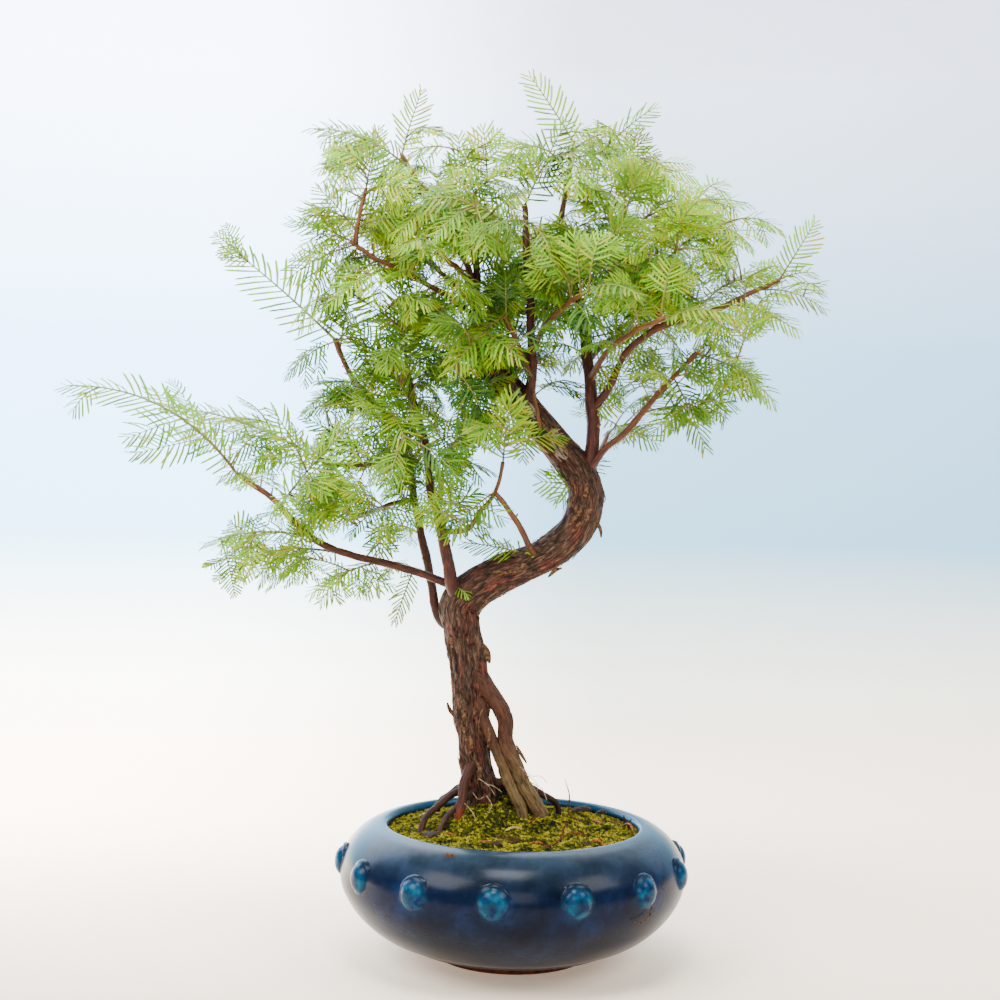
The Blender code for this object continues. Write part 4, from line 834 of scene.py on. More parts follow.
def make_pot():
    """The wall as it was thrown, with its studs luted on, its two drain holes and their grooves."""
    inner = POT_INSIDE[:2] + [tuple(row) for row in flowing(POT_INSIDE[2:] + POT_OUTSIDE[:-1], 2.2)]
    pot = lathe("glazed_pot", inner + POT_OUTSIDE[-1:] + POT_FOOT, POT_SIDES)
    dome = [tuple(row) for row in flowing(STUD_PROFILE[:-2], 1.2)]
    turns = [Matrix.Rotation(math.radians(STUD_TURN + 360 * i / STUD_COUNT), 4, "Z")
             for i in range(STUD_COUNT)]
    place = Matrix.Translation((0, -STUD_WALL * MM, STUD_HEIGHT * MM))
    studs = []
    for i, turn in enumerate(turns):
        stud = lathe(f"stud_{i}", STUD_PROFILE[:1] + dome[1:] + STUD_PROFILE[-2:], STUD_SIDES)
        stud.data.transform(turn @ place @ Matrix.Rotation(math.radians(90), 4, "X"))
        studs.append(stud)
    pot = combine(pot, studs, "UNION")
    top, bottom = FLOOR_TOP + CUTTER_SPARE, -CUTTER_SPARE
    drains = []
    for side in (-1, 1):
        hole = lathe("hole", [(0, top), (HOLE_RADIUS, top), (HOLE_RADIUS, bottom), (0, bottom)], HOLE_SIDES)
        hole.data.transform(Matrix.Translation((side * HOLE_X * MM, 0, 0)))
        block = bmesh.new()
        bmesh.ops.create_cube(block, size=MM)
        size = Matrix.Diagonal((GROOVE_REACH, GROOVE_WIDTH, 2 * GROOVE_DEPTH, 1))
        block.transform(Matrix.Translation((side * (HOLE_X + GROOVE_REACH / 2) * MM, 0, 0)) @ size)
        mesh = bpy.data.meshes.new("groove")
        block.to_mesh(mesh)
        block.free()
        drains += [hole, put("groove", mesh)]
    pot = combine(pot, drains, "DIFFERENCE")
    centres = [turn.to_3x3() @ Vector((0, -STUD_WALL, STUD_HEIGHT)) for turn in turns]
    stud, lip = [], []
    for vert in pot.data.vertices:
        place = vert.co / MM
        away = min((place - centre).length for centre in centres)
        stud.append(min(max((STUD_GLAZE_REACH - away) / STUD_GLAZE_FADE, 0), 1))
        on_lip = math.hypot(place.x, place.y) < LIP_REACH and LIP_BOTTOM < place.z
        lip.append(LIP_SHARE if on_lip else 0.0)
    store(pot.data, {"stud": stud, "lip": lip})
    pot.data.materials.clear()
    pot.data.materials.append(glazed_stoneware())
    pot.data.shade_smooth()
    pot.data.set_sharp_from_angle(angle=math.radians(50))
    keep(pot, "blue_glazed_stoneware", "pot")


def bark_relief(seed, plate, depth, lobes=(), smooth_from=None):
    """A relief for tube(): plates with cracks between them, fibres and slow swellings, all run lengthways.

    Past smooth_from, in millimetres along the wood, it falls to under half its height.
    """
    def relief(angle, along, radius):
        x, y = math.cos(angle) * radius, math.sin(angle) * radius
        slow = noise.noise(Vector((x / 11, y / 11, along / 24 + seed)))
        drift = Vector((x / plate + slow, y / plate - slow, along / (5.5 * plate) + seed))
        tone = min(abs(noise.noise(drift)) * 6.5, 1)
        fibre = noise.noise(Vector((x / 1.1, y / 1.1, along / 9 + seed)))
        lobe = radius * sum(rise * math.sin(count * angle + turn * along) for count, rise, turn in lobes)
        rough = depth
        if smooth_from:
            rough *= 1 - 0.55 * min(max((along - smooth_from) / 30, 0), 1)
        return lobe + rough * (1.3 * slow + 0.9 * (tone - 0.7) + 0.3 * fibre), tone
    return relief


def flared(rows, flare, run):
    """Thicken the rows' start, as a bough swells where it leaves the wood that carries it."""
    start = rows[0].xyz
    return [Vector((*row.xyz, row.w * (1 + flare * math.exp(-(row.xyz - start).length / run))))
            for row in rows]


def strap(shell, points, facing, width, thick):
    """A closed flat strip along points, widest in its middle, with its flat side towards facing."""
    places = []
    last = len(points) - 1
    for i, point in enumerate(points):
        ahead = (points[min(i + 1, last)] - points[max(i - 1, 0)]).normalized()
        side = facing.cross(ahead).normalized()
        up = ahead.cross(side)
        half = width / 2 * (0.25 + 0.75 * math.sin(math.pi * (0.06 + 0.88 * i / last)))
        places += [point + side * half, point + up * thick, point - side * half, point - up * thick * 0.2]
    faces = [(3, 2, 1, 0), tuple(4 * last + k for k in range(4))]
    for i in range(last):
        for k in range(4):
            j = (k + 1) % 4
            faces.append((4 * i + k, 4 * i + j, 4 * i + 4 + j, 4 * i + 4 + k))
    shell.add(places, faces)


def keep(obj, slot_name, *nodes):
    """Give a finished piece its body, and hide the nodes that it stands for. slot_name is not used."""
    if nodes:
        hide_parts(*nodes)
    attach(obj, BODY)


TRUNK_SIDES = 96
# Pale scars on the trunk: the start and the end of each. They reach 9 mm to their sides, and fade over 5.
PALE_SCARS = [((-12, -9, 428), (8, -13, 396)), ((24, -14, 384), (30, -15, 366))]
SCAR_REACH, SCAR_FADE = 9, 5


def make_trunk():
    rows = flowing(TRUNK, 1.5)
    shell = Shell()
    tube(shell, rows, TRUNK_SIDES, bark_relief(3.1, plate=3.0, depth=2.2, lobes=RIDGES, smooth_from=165))
    scar = []
    for place in shell.verts:
        away = []
        for start, end in PALE_SCARS:
            start, end = Vector(start), Vector(end)
            _, share = intersect_point_line(place, start, end)
            away.append((place - start.lerp(end, min(max(share, 0), 1))).length)
        scar.append(min(max((SCAR_REACH - min(away)) / SCAR_FADE, 0), 1))
    shell.values["scar"] = scar
    keep(shell.build("trunk_bark", fibrous_bark()), "bark", "tree")
    return shell.verts, len(rows)


STRIP_COUNT, STRIP_SEED = 46, 11


def make_bark_strips(skin, ring_count):
    """Strips of bark that follow the trunk's surface and lift away at one end."""
    draw = random.Random(STRIP_SEED)
    shell = Shell()
    spokes = range(0, TRUNK_SIDES, 8)
    for _ in range(STRIP_COUNT):
        ring = draw.randrange(30, ring_count - 40)
        spoke = draw.randrange(TRUNK_SIDES)
        length, way = draw.randrange(6, 15), draw.choice((-1, 1))
        lift, twist = draw.uniform(0.6, 3.2), draw.uniform(-0.6, 0.6)
        middle = sum((skin[ring * TRUNK_SIDES + k] for k in spokes), Vector()) / len(spokes)
        away = (skin[ring * TRUNK_SIDES + spoke] - middle).normalized()
        points = []
        for i in range(length):
            row = ring + way * i if 5 < ring + way * i < ring_count - 5 else ring
            on_skin = skin[row * TRUNK_SIDES + (spoke + round(twist * i)) % TRUNK_SIDES]
            points.append(on_skin + away * (0.15 + lift * (i / length) ** 2))
        if (points[-1] - points[0]).length > 5:
            strap(shell, points, away, draw.uniform(1.8, 4.2), 0.35)
    made = dry_litter("peeling_bark_fibre", "24160E", "6E5038")
    keep(shell.build("peeling_bark", made, smooth=False), "bark", "tree")


def inside_trunk(place):
    """A point between a place and the nearest point of the trunk's middle line."""
    middle = min((Vector(row[:3]) for row in TRUNK), key=lambda point: (point - place).length)
    return tuple(place.lerp(middle, 0.6))


SWAY_SEED = 8   # how the roots and boughs sway off their drawn lines


def make_roots():
    """Bared roots: the two smooth strands, the red one, and the thin dark ones that run into the moss."""
    kinds = [
        ("root_strands", ("outer_strand", "inner_strand"),
         root_bark("peeling_root_bark", ("1A0E08", "563220"), ("241A0E", "765E38"), (172, 138))),
        ("orange_root", ("red_root",),
         root_bark("raw_orange_root", ("1A0C08", "4A2A1C"), ("3C0E04", "B0440E"), (126, 106))),
        ("dark_roots", ("left_root", "front_left_root", "right_root", "back_root", "back_left_root"),
         root_bark("dark_root_bark", ("100705", "3A1E10"), ("140A06", "422614"), (178, 140))),
    ]
    for number, (name, routes, made) in enumerate(kinds):
        shell = Shell()
        for route_name in routes:
            route, start, end = ROOTS[route_name]
            route = [inside_trunk(Vector(route[0]))] + route
            flare, run = (0.8, 16) if route_name == "outer_strand" else (0.35, 9)
            rows = flared(flowing(with_radii(route, start, end), 1.6), flare, run)
            for i, row in enumerate(rows):
                sway = noise.noise_vector(Vector((len(shell.verts) * 0.01, i * 0.11, 3)))
                row.xyz += sway * 1.3 * min(i / 9, 1)
            tube(shell, rows, 28, bark_relief(5.7 + number, plate=2.2, depth=start * 0.2))
        keep(shell.build(name, made), "bark", "tree")


STUB_SEED, STUB_SHARE = 5, 0.55   # the draw of the lost twigs' stubs, and how many of their places hold one


def make_boughs():
    """Shoots and boughs, a little crooked, with collars where they start and stubs of lost twigs."""
    draw = random.Random(STUB_SEED)
    shell = Shell()
    for number, (route, start, end) in enumerate(BOUGHS.values()):
        rows = flared(flowing(with_radii(route, start, end), 2.2), 0.4, 7)
        for i, row in enumerate(rows):
            row.xyz += noise.noise_vector(Vector((number * 7.3, i * 0.14, 0))) * 0.9 * min(i / 6, 1)
        sides = 16 if start > 2.3 else 10
        tube(shell, rows, sides, bark_relief(number * 1.7, plate=1.9, depth=start * 0.12))
        for i in range(8, len(rows) - 6, 11):
            if draw.random() < STUB_SHARE:
                ahead = (rows[i + 1].xyz - rows[i].xyz).normalized()
                out = ahead.orthogonal().normalized()
                out.rotate(Matrix.Rotation(draw.uniform(0, math.tau), 3, ahead))
                thick = rows[i].w * 0.42
                length = draw.uniform(1.5, 5.0)
                stub = [Vector((*(rows[i].xyz + (out + ahead * 0.5) * (rows[i].w * 0.5 + length * k / 3)),
                                thick * (1 - 0.12 * k))) for k in range(4)]
                tube(shell, stub, 7, bark_relief(i, plate=1.5, depth=0.12))
    for route, start, end in DEAD_STUBS:
        rows = flowing(with_radii(route, start, end), 1.5)
        tube(shell, rows, 12, bark_relief(start, plate=1.9, depth=0.3))
    keep(shell.build("boughs_and_shoots", shoot_bark()), "bark", "tree")


def moss_height(x, y):
    """The bed of the moss, fuller at the front.

    It is a mound with a shoulder at its left, a clump behind the root strands and a ridge at their right.
    """
    away = math.hypot(x - MOUND_X, (y - MOUND_Y) * 1.15)
    mound = MOSS_MOUND * math.exp(-(away / MOUND_SPREAD) ** 2)
    swell = math.sin(x * 0.11 + 0.6) * math.cos(y * 0.13 - 0.4) + 0.6 * math.sin(x * 0.21 - y * 0.17)
    inward = 1 - (math.hypot(x, y) / MOSS_RADIUS) ** 4
    ridge = 5.0 * math.exp(-((x - 34) / 15) ** 2 - ((y + 10) / 9) ** 2)
    front = 3.2 * min(max((-y - 20) / 60, 0), 1)
    shoulder = 7 * math.exp(-((x + 38) / 22) ** 2 - ((y + 20) / 15) ** 2)
    clump = 24 * math.exp(-((x - 3) / 11) ** 2 - ((y - 7) / 9) ** 2)
    return MOSS_EDGE + inward * (2.5 + mound + 1.2 * swell + ridge + shoulder) + front + clump


def lumps(x, y):
    """The small cushions that the moss grows in, about 9 and 3 mm across."""
    big = noise.noise(Vector((x / 8.5, y / 8.5, 2.2)))
    small = noise.noise(Vector((x / 3.4, y / 3.4, 7.1)))
    return 2.3 * big + 1.1 * small


def sprig_shape():
    """A star of leaves that rise from one shoot of moss, 2.8 mm across."""
    shell = Shell()
    places = [Vector((0, 0, 0.9)), Vector((0, 0, -0.6))]
    for k in range(8):
        angle = math.tau * k / 8
        radius, rise = (1.4, 1.1) if k % 2 == 0 else (0.42, 0.25)
        places.append(Vector((radius * math.cos(angle), radius * math.sin(angle), rise)))
    faces = []
    for k in range(8):
        j = (k + 1) % 8
        faces += [(0, 2 + k, 2 + j), (1, 2 + j, 2 + k)]
    shell.add(places, faces)
    return shell.build("moss_sprig", smooth=False)


def named_tree(name, inputs):
    """A Geometry Nodes tree with a geometry and named inputs, and the outputs that give their values."""
    tree = bpy.data.node_groups.new(name, "GeometryNodeTree")
    for key, kind in {"Geometry": "Geometry", **inputs}.items():
        tree.interface.new_socket(key, in_out="INPUT", socket_type=f"NodeSocket{kind}")
    tree.interface.new_socket("Geometry", in_out="OUTPUT", socket_type="NodeSocketGeometry")
    return tree, add(tree, "NodeGroupInput").outputs


def end_tree(tree, parts, *skins):
    """Join a tree's parts, make them plain, give them their materials and send them out."""
    whole = add(tree, "GeometryNodeJoinGeometry")
    for part in parts:
        tree.links.new(part, whole.inputs[0])
    whole = add(tree, "GeometryNodeRealizeInstances", {0: whole})
    for skin in skins:
        whole = add(tree, "GeometryNodeSetMaterial", {"Geometry": whole, **skin})
    add(tree, "NodeGroupOutput", {0: whole})
    return tree


def moss_tree():
    """Scatter sprigs over the upward faces, each turned about the surface's normal and of its own size."""
    tree, given = named_tree("moss_sprigs", {
        "Sprigs per m2": "Float", "Smallest": "Float", "Largest": "Float", "Sprig": "Object",
        "Moss": "Material", "Seed": "Int"})
    normal = add(tree, "GeometryNodeInputNormal")
    upward = add(tree, "ShaderNodeSeparateXYZ", {0: normal}).outputs["Z"]
    above = add(tree, "ShaderNodeMath", {0: upward, 1: 0.35}, operation="GREATER_THAN")
    points = add(tree, "GeometryNodeDistributePointsOnFaces",
                 {"Mesh": given["Geometry"], "Selection": above, "Density": given["Sprigs per m2"],
                  "Seed": given["Seed"]})
    lean = add(tree, "FunctionNodeRandomValue", {0: (-0.55, -0.55, 0), 1: (0.55, 0.55, math.tau),
                                                 "Seed": given["Seed"]}, data_type="FLOAT_VECTOR")
    turn = add(tree, "FunctionNodeEulerToRotation", {0: lean})
    turned = add(tree, "FunctionNodeRotateRotation", {0: points.outputs["Rotation"], 1: turn},
                 rotation_space="LOCAL")
    size, shade = (add(tree, "FunctionNodeRandomValue", {2: least, 3: most, "Seed": given["Seed"]}).outputs[1]
                   for least, most in ((given["Smallest"], given["Largest"]), (0.0, 1.0)))
    sprig = add(tree, "GeometryNodeObjectInfo", {"Object": given["Sprig"]})
    sprigs = add(tree, "GeometryNodeInstanceOnPoints",
                 {"Points": points, "Instance": sprig.outputs["Geometry"], "Rotation": turned, "Scale": size})
    sprigs = add(tree, "GeometryNodeStoreNamedAttribute",
                 {"Geometry": sprigs, "Name": "tone", "Value": shade}, domain="INSTANCE")
    return end_tree(tree, (given["Geometry"], sprigs.outputs[0]), {"Material": given["Moss"]})


MOSS_RINGS, MOSS_SPOKES = 46, 120
SPRIGS_PER_M2 = 290000.0


def make_moss():
    rings, spokes = MOSS_RINGS, MOSS_SPOKES
    shell = Shell()
    turns = [math.tau * k / spokes for k in range(spokes)]
    places = [Vector((0, 0, moss_height(0, 0)))]
    for i in range(1, rings + 1):
        radius = MOSS_RADIUS * i / rings
        for turn in turns:
            x, y = radius * math.cos(turn), radius * math.sin(turn)
            height = moss_height(x, y) + lumps(x, y) * min((rings - i) / 4, 1)
            places.append(Vector((x, y, height)))
    places += [Vector((MOSS_RADIUS * math.cos(turn), MOSS_RADIUS * math.sin(turn), MOSS_BOTTOM))
               for turn in turns]
    faces = [(0, 1 + k, 1 + (k + 1) % spokes) for k in range(spokes)]
    for i in range(rings):
        for k in range(spokes):
            j = (k + 1) % spokes
            low, high = 1 + i * spokes, 1 + (i + 1) * spokes
            faces.append((low + k, high + k, high + j, low + j))
    faces.append(tuple(1 + rings * spokes + k for k in reversed(range(spokes))))
    # The bed takes the dark end of the moss colours: painted shade in the gaps between the sprigs.
    shell.add(places, faces, tone=[0.0] * len(places))
    sprig = sprig_shape()
    moss = run_nodes(shell.build("moss_cushions"), moss_tree(),
                     {"Sprigs per m2": SPRIGS_PER_M2, "Smallest": 0.55, "Largest": 1.15, "Sprig": sprig,
                      "Moss": living_moss(), "Seed": 4})
    bpy.data.objects.remove(sprig)
    keep(moss, "moss", "moss")


# Fallen and dead bits: name: (dark, light, [(points, width)]). A point is (x, y, height over the moss).
LITTER = {
    "fallen_needles": ("4A1A08", "96501C", [
        ([(60, 27, 1), (63, 17, 3), (68, 8, 1)], 2.4),
        ([(81, 8, 2), (86, -4, 6), (89, -17, 3)], 2.0),
        ([(55, -53, 1), (59, -56, 2), (64, -57, 1)], 2.4),
        ([(-24, -58, 1), (-20, -62, 2), (-15, -64, 1)], 2.0),
        ([(12, -70, 1), (16, -67, 2), (21, -66, 1)], 1.8),
        ([(40, -34, 1), (46, -30, 2), (52, -29, 1)], 1.6),
        ([(-50, -46, 1), (-46, -50, 3), (-40, -52, 1)], 1.6),
        ([(-72, -6, 1), (-66, -10, 2), (-60, -9, 1)], 1.8)]),
    "bark_chips": ("120A06", "3A281C", [
        ([(50, 72, 2), (56, 66, 4), (63, 62, 3)], 8.0),
        ([(58, 60, 1), (52, 56, 4), (47, 52, 2)], 6.5),
        ([(66, 56, 1), (70, 50, 4), (73, 46, 2)], 5.0),
        ([(83, 12, -2), (84, 11, 4), (83, 10, 9)], 2.0),
        ([(86, 8, -2), (87, 7, 5), (89, 6, 8)], 1.8),
        ([(87, 2, -2), (86, 1, 4), (84, 0, 8)], 1.6),
        ([(-66, -38, 0), (-61, -42, 2), (-57, -47, 1)], 7.0),
        ([(-60, -34, 0), (-56, -40, 2), (-54, -44, 1)], 5.0),
        ([(-16, -72, 0), (-12, -74, 2), (-8, -73, 1)], 4.0),
        ([(30, 52, 0), (36, 46, 3), (42, 38, 1)], 2.6)]),
    "dry_twigs": ("2A1409", "6A3A22", [
        ([(31, -64, -2), (34, -62, 9), (37, -60, 18)], 1.3),
        ([(18, -74, 0), (24, -71, 2), (31, -67, 1)], 1.6),
        ([(44, 60, -2), (45, 60, 13), (41, 59, 27)], 1.2),
        ([(27, -66, -1), (33, -64, 5), (41, -63, 9)], 1.2),
        ([(20, -20, 8), (14, -24, 4), (8, -30, 1)], 1.3),
        ([(40, 8, 6), (47, 10, 3), (56, 12, 1)], 1.8)]),
    "straw": ("6E5E38", "A8985E", [
        ([(-6, -39, 1), (-1, -38, 2), (5, -37, 1)], 2.2),
        ([(-74, 20, 1), (-64, 24, 3), (-54, 26, 1)], 2.4),
        ([(-36, -24, 9), (-30, -27, 5), (-27, -31, 1)], 0.9)]),
}
# Flaps of bark, ten on the wood, one on the pot's rim and one on its wall, by true place: (points, width)
FLAPS = [
    ([(-45, -3, 170), (-49, -3, 176), (-51, -3, 181)], 3.0),
    ([(1, -12, 152), (5, -13, 145), (9, -13, 139)], 2.6),
    ([(-26, -6, 226), (-22, -6, 219), (-20, -6, 211)], 5.0),
    ([(-28, -13, 140), (-25, -15, 132), (-27, -15, 124)], 3.0),
    ([(-40, -10, 182), (-38, -13, 174), (-39, -12, 166)], 3.2),
    ([(-22, -12, 168), (-19, -14, 160), (-20, -14, 150)], 2.6),
    ([(-46, -10, 236), (-43, -14, 228), (-43, -12, 218)], 3.6),
    ([(-34, -14, 160), (-32, -15, 152), (-33, -14, 144)], 2.8),
    ([(55, -14, 322), (60, -11, 312), (61, -8, 306)], 3.0),
    ([(22, -12, 276), (27, -14, 281), (32, -14, 283)], 3.0),
    ([(-47, -98, 91.2), (-44, -99, 91.6), (-40, -100, 90.8)], 2.6),
    ([(80, -99.5, 50), (86, -96, 48.5), (91, -91.5, 51), (94, -88, 58)], 1.4),
]
# Fine roots in the air, by true place.
HAIRS = [
    [(4, -17, 137), (12, -19, 131), (19, -20, 131), (24, -20, 126)],
    [(8, -17, 132), (16, -20, 126), (17, -21, 119)],
    [(12, -17, 126), (20, -20, 122), (24, -22, 114)],
    [(-26, -18, 128), (-19, -22, 124), (-14, -22, 117)],
    [(-22, -16, 124), (-15, -20, 123), (-9, -21, 119)],
    [(-30, -20, 118), (-26, -23, 114), (-22, -24, 116)],
    [(-20, -20, 116), (-16, -23, 110), (-18, -25, 106)],
]
HAIR_RADIUS = 0.26


def make_litter():
    """Dead needles, chips, twigs and straw on the moss, flaps of bark, and fine root hairs."""
    for name, (dark, light, bits) in LITTER.items():
        shell = Shell()
        for points, width in bits:
            line = flowing([(x, y, moss_height(x, y) + lumps(x, y) + over) for x, y, over in points], 1.5)
            strap(shell, line, Vector((0.1, -0.5, 0.85)), width, 0.3 + 0.12 * width)
        keep(shell.build(name, dry_litter(name, dark, light), smooth=False), "bark")
    shell = Shell()
    for points, width in FLAPS:
        strap(shell, flowing(points, 1.2), Vector((0.1, -0.95, 0.3)), width, 0.5)
    keep(shell.build("bark_flaps", dry_litter("bark_flap_fibre", "1E120C", "66492F"), smooth=False), "bark")
    shell = Shell()
    for points in HAIRS:
        rows = [Vector((*row, HAIR_RADIUS)) for row in flowing(points, 1.5)]
        tube(shell, rows, 5, lambda angle, along, radius: (0.0, 1.0))
    keep(shell.build("root_hairs", dry_litter("root_hair", "5E4836", "A8927A")), "bark")


NEEDLE_LENGTH = 20.0
NEEDLE_BENDS = (0.08, 0.16, 0.28)   # how far the tip of each shape sinks, as a share of its length
NEEDLE_SWEEP = 0.12                 # how far it curves towards the tip of its stem
# Half width of a needle at some shares of its length: a long one, and one too short to show a curve.
NEEDLE_RINGS = (((0.0, 0.6), (0.45, 1.0), (0.88, 0.86)), ((0.0, 0.75), (0.8, 0.95)))
SHORT_NEEDLE = 13.0
NEEDLE_SPACING = 3.0
FOOT_ANGLE, TIP_ANGLE = 70, 34      # how far the needles spread from their stem, at its foot and its tip


def needle_shapes():
    """Flat blunt straps with a keel below, for each hand, that curve forward and down by more or less."""
    group = bpy.data.collections.new("needle_shapes")
    bpy.context.scene.collection.children.link(group)
    for number, (rings, hand, bend) in enumerate(itertools.product(NEEDLE_RINGS, (-1, 1), NEEDLE_BENDS)):
        places, faces, shares = [], [(0, 1, 2)], []
        for share, half in rings:
            curve = share ** 2
            x, y, z = (NEEDLE_LENGTH * way for way in (share, -hand * NEEDLE_SWEEP * curve, -bend * curve))
            places += [Vector((x, y + half, z)), Vector((x, y - half, z)), Vector((x, y, z - 0.5 * half))]
            shares += [share] * 3
        tip = len(places)
        places.append(Vector((1, -hand * NEEDLE_SWEEP, -bend)) * NEEDLE_LENGTH)
        shares.append(1.0)
        for k in range(3):
            j = (k + 1) % 3
            faces += [(i + j, i + k, i + 3 + k, i + 3 + j) for i in range(0, tip - 3, 3)]
            faces.append((tip - 3 + j, tip - 3 + k, tip))
        shell = Shell()
        shell.add(places, faces, along=shares)
        shape = shell.build(f"needle_{number:02d}", smooth=False)
        bpy.context.scene.collection.objects.unlink(shape)
        group.objects.link(shape)
    return group


def needle_tree():
    """Two ranks of needles along each centre line, and a tapering green stem round it."""
    tree, given = named_tree("two_ranked_needles", {
        "Spacing": "Float", "Foot Angle": "Float", "Tip Angle": "Float", "Droop": "Float",
        "Shapes": "Collection", "Needles": "Material", "Stem": "Material", "Seed": "Int"})
    gap, reach, share, thick, along = (
        add(tree, "GeometryNodeInputNamedAttribute", {"Name": name}, data_type="FLOAT")
        for name in ("gap", "reach", "share", "thick", "along"))
    upper = add(tree, "GeometryNodeInputNamedAttribute", {"Name": "upper"}, data_type="FLOAT_VECTOR")
    stray, lift, vary, shade = (
        add(tree, "FunctionNodeRandomValue", {2: least, 3: most, "Seed": given["Seed"]}).outputs[1]
        for least, most in ((-0.11, 0.11), (-0.2, 0.16), (0.86, 1.1), (0.0, 1.0)))
    curve = add(tree, "GeometryNodeMeshToCurve", {0: given["Geometry"]})
    apart = add(tree, "ShaderNodeMath", {0: gap, 1: given["Spacing"]}, operation="MULTIPLY")
    dots = add(tree, "GeometryNodeCurveToPoints", {"Curve": curve, "Length": apart}, mode="LENGTH")
    twins = add(tree, "GeometryNodeDuplicateElements", {"Geometry": dots, "Amount": 2}, domain="POINT")
    twin = twins.outputs["Duplicate Index"]
    hand = add(tree, "ShaderNodeMath", {0: twin, 1: 2.0, 2: -1.0}, operation="MULTIPLY_ADD")
    # Each needle leaves at an angle between the foot's and the tip's, to the left or to the right.
    tangent = dots.outputs["Tangent"]
    side = add(tree, "ShaderNodeVectorMath", {0: upper, 1: tangent}, operation="CROSS_PRODUCT")
    side = add(tree, "ShaderNodeVectorMath", {0: side}, operation="NORMALIZE")
    outward = add(tree, "ShaderNodeVectorMath", {0: side, "Scale": hand}, operation="SCALE")
    fan = add(tree, "ShaderNodeMapRange", {"Value": share, "To Min": given["Foot Angle"],
                                           "To Max": given["Tip Angle"]})
    angle = add(tree, "ShaderNodeMath", {0: fan, 1: stray}, operation="ADD")
    cosine, sine = (add(tree, "ShaderNodeMath", {0: angle}, operation=name) for name in ("COSINE", "SINE"))
    forward, across, raised = (
        add(tree, "ShaderNodeVectorMath", {0: way, "Scale": amount}, operation="SCALE")
        for way, amount in ((tangent, cosine), (outward, sine), (upper, lift)))
    weight = add(tree, "ShaderNodeCombineXYZ", {"Z": given["Droop"]})
    aim = add(tree, "ShaderNodeVectorMath", {0: forward, 1: across}, operation="ADD")
    aim, flat = (add(tree, "ShaderNodeVectorMath", {0: way, 1: more}, operation="ADD")
                 for way, more in ((aim, raised), (upper, weight)))
    turn = add(tree, "FunctionNodeAxesToRotation", {0: aim, 1: flat}, primary_axis="X", secondary_axis="Z")
    length = add(tree, "ShaderNodeMath", {0: reach, 1: vary}, operation="MULTIPLY")
    long = add(tree, "ShaderNodeMath", {0: length, 1: 1 / (NEEDLE_LENGTH * MM)}, operation="MULTIPLY")
    wide = add(tree, "ShaderNodeMath", {0: long, 1: 0.45, 2: 0.44}, operation="MULTIPLY_ADD")
    scale = add(tree, "ShaderNodeCombineXYZ", {0: long, 1: wide, 2: wide})
    grown = add(tree, "ShaderNodeMath", {0: reach, 1: 2 * MM}, operation="GREATER_THAN")
    # The shapes go by hand, and the short ones come after the long ones.
    bends = len(NEEDLE_BENDS)
    pick = add(tree, "FunctionNodeRandomValue", {4: 0, 5: bends - 1, "Seed": given["Seed"]},
               data_type="INT").outputs[2]
    short = add(tree, "ShaderNodeMath", {0: length, 1: SHORT_NEEDLE * MM}, operation="LESS_THAN")
    for kind, step in ((twin, float(bends)), (short, 2.0 * bends)):
        pick = add(tree, "ShaderNodeMath", {0: kind, 1: step, 2: pick}, operation="MULTIPLY_ADD")
    shapes = add(tree, "GeometryNodeCollectionInfo",
                 {"Collection": given["Shapes"], "Separate Children": True, "Reset Children": True})
    needles = add(tree, "GeometryNodeInstanceOnPoints",
                  {"Points": twins, "Selection": grown, "Instance": shapes, "Pick Instance": True,
                   "Instance Index": pick, "Rotation": turn, "Scale": scale})
    needles = add(tree, "GeometryNodeStoreNamedAttribute",
                  {"Geometry": needles, "Name": "tone", "Value": shade}, domain="INSTANCE")
    ring = add(tree, "GeometryNodeCurvePrimitiveCircle", {"Resolution": 3, "Radius": 1.0})
    stem = add(tree, "GeometryNodeCurveToMesh", {"Curve": curve, "Profile Curve": ring, "Scale": thick,
                                                 "Fill Caps": True})
    # The stem is told from the needles by a share along of less than nothing.
    stem = add(tree, "GeometryNodeStoreNamedAttribute", {"Geometry": stem, "Name": "along", "Value": -1.0})
    on_stem = add(tree, "ShaderNodeMath", {0: along, 1: -0.5}, operation="LESS_THAN")
    return end_tree(tree, (stem.outputs[0], needles.outputs[0]), {"Material": given["Needles"]},
                    {"Selection": on_stem, "Material": given["Stem"]})


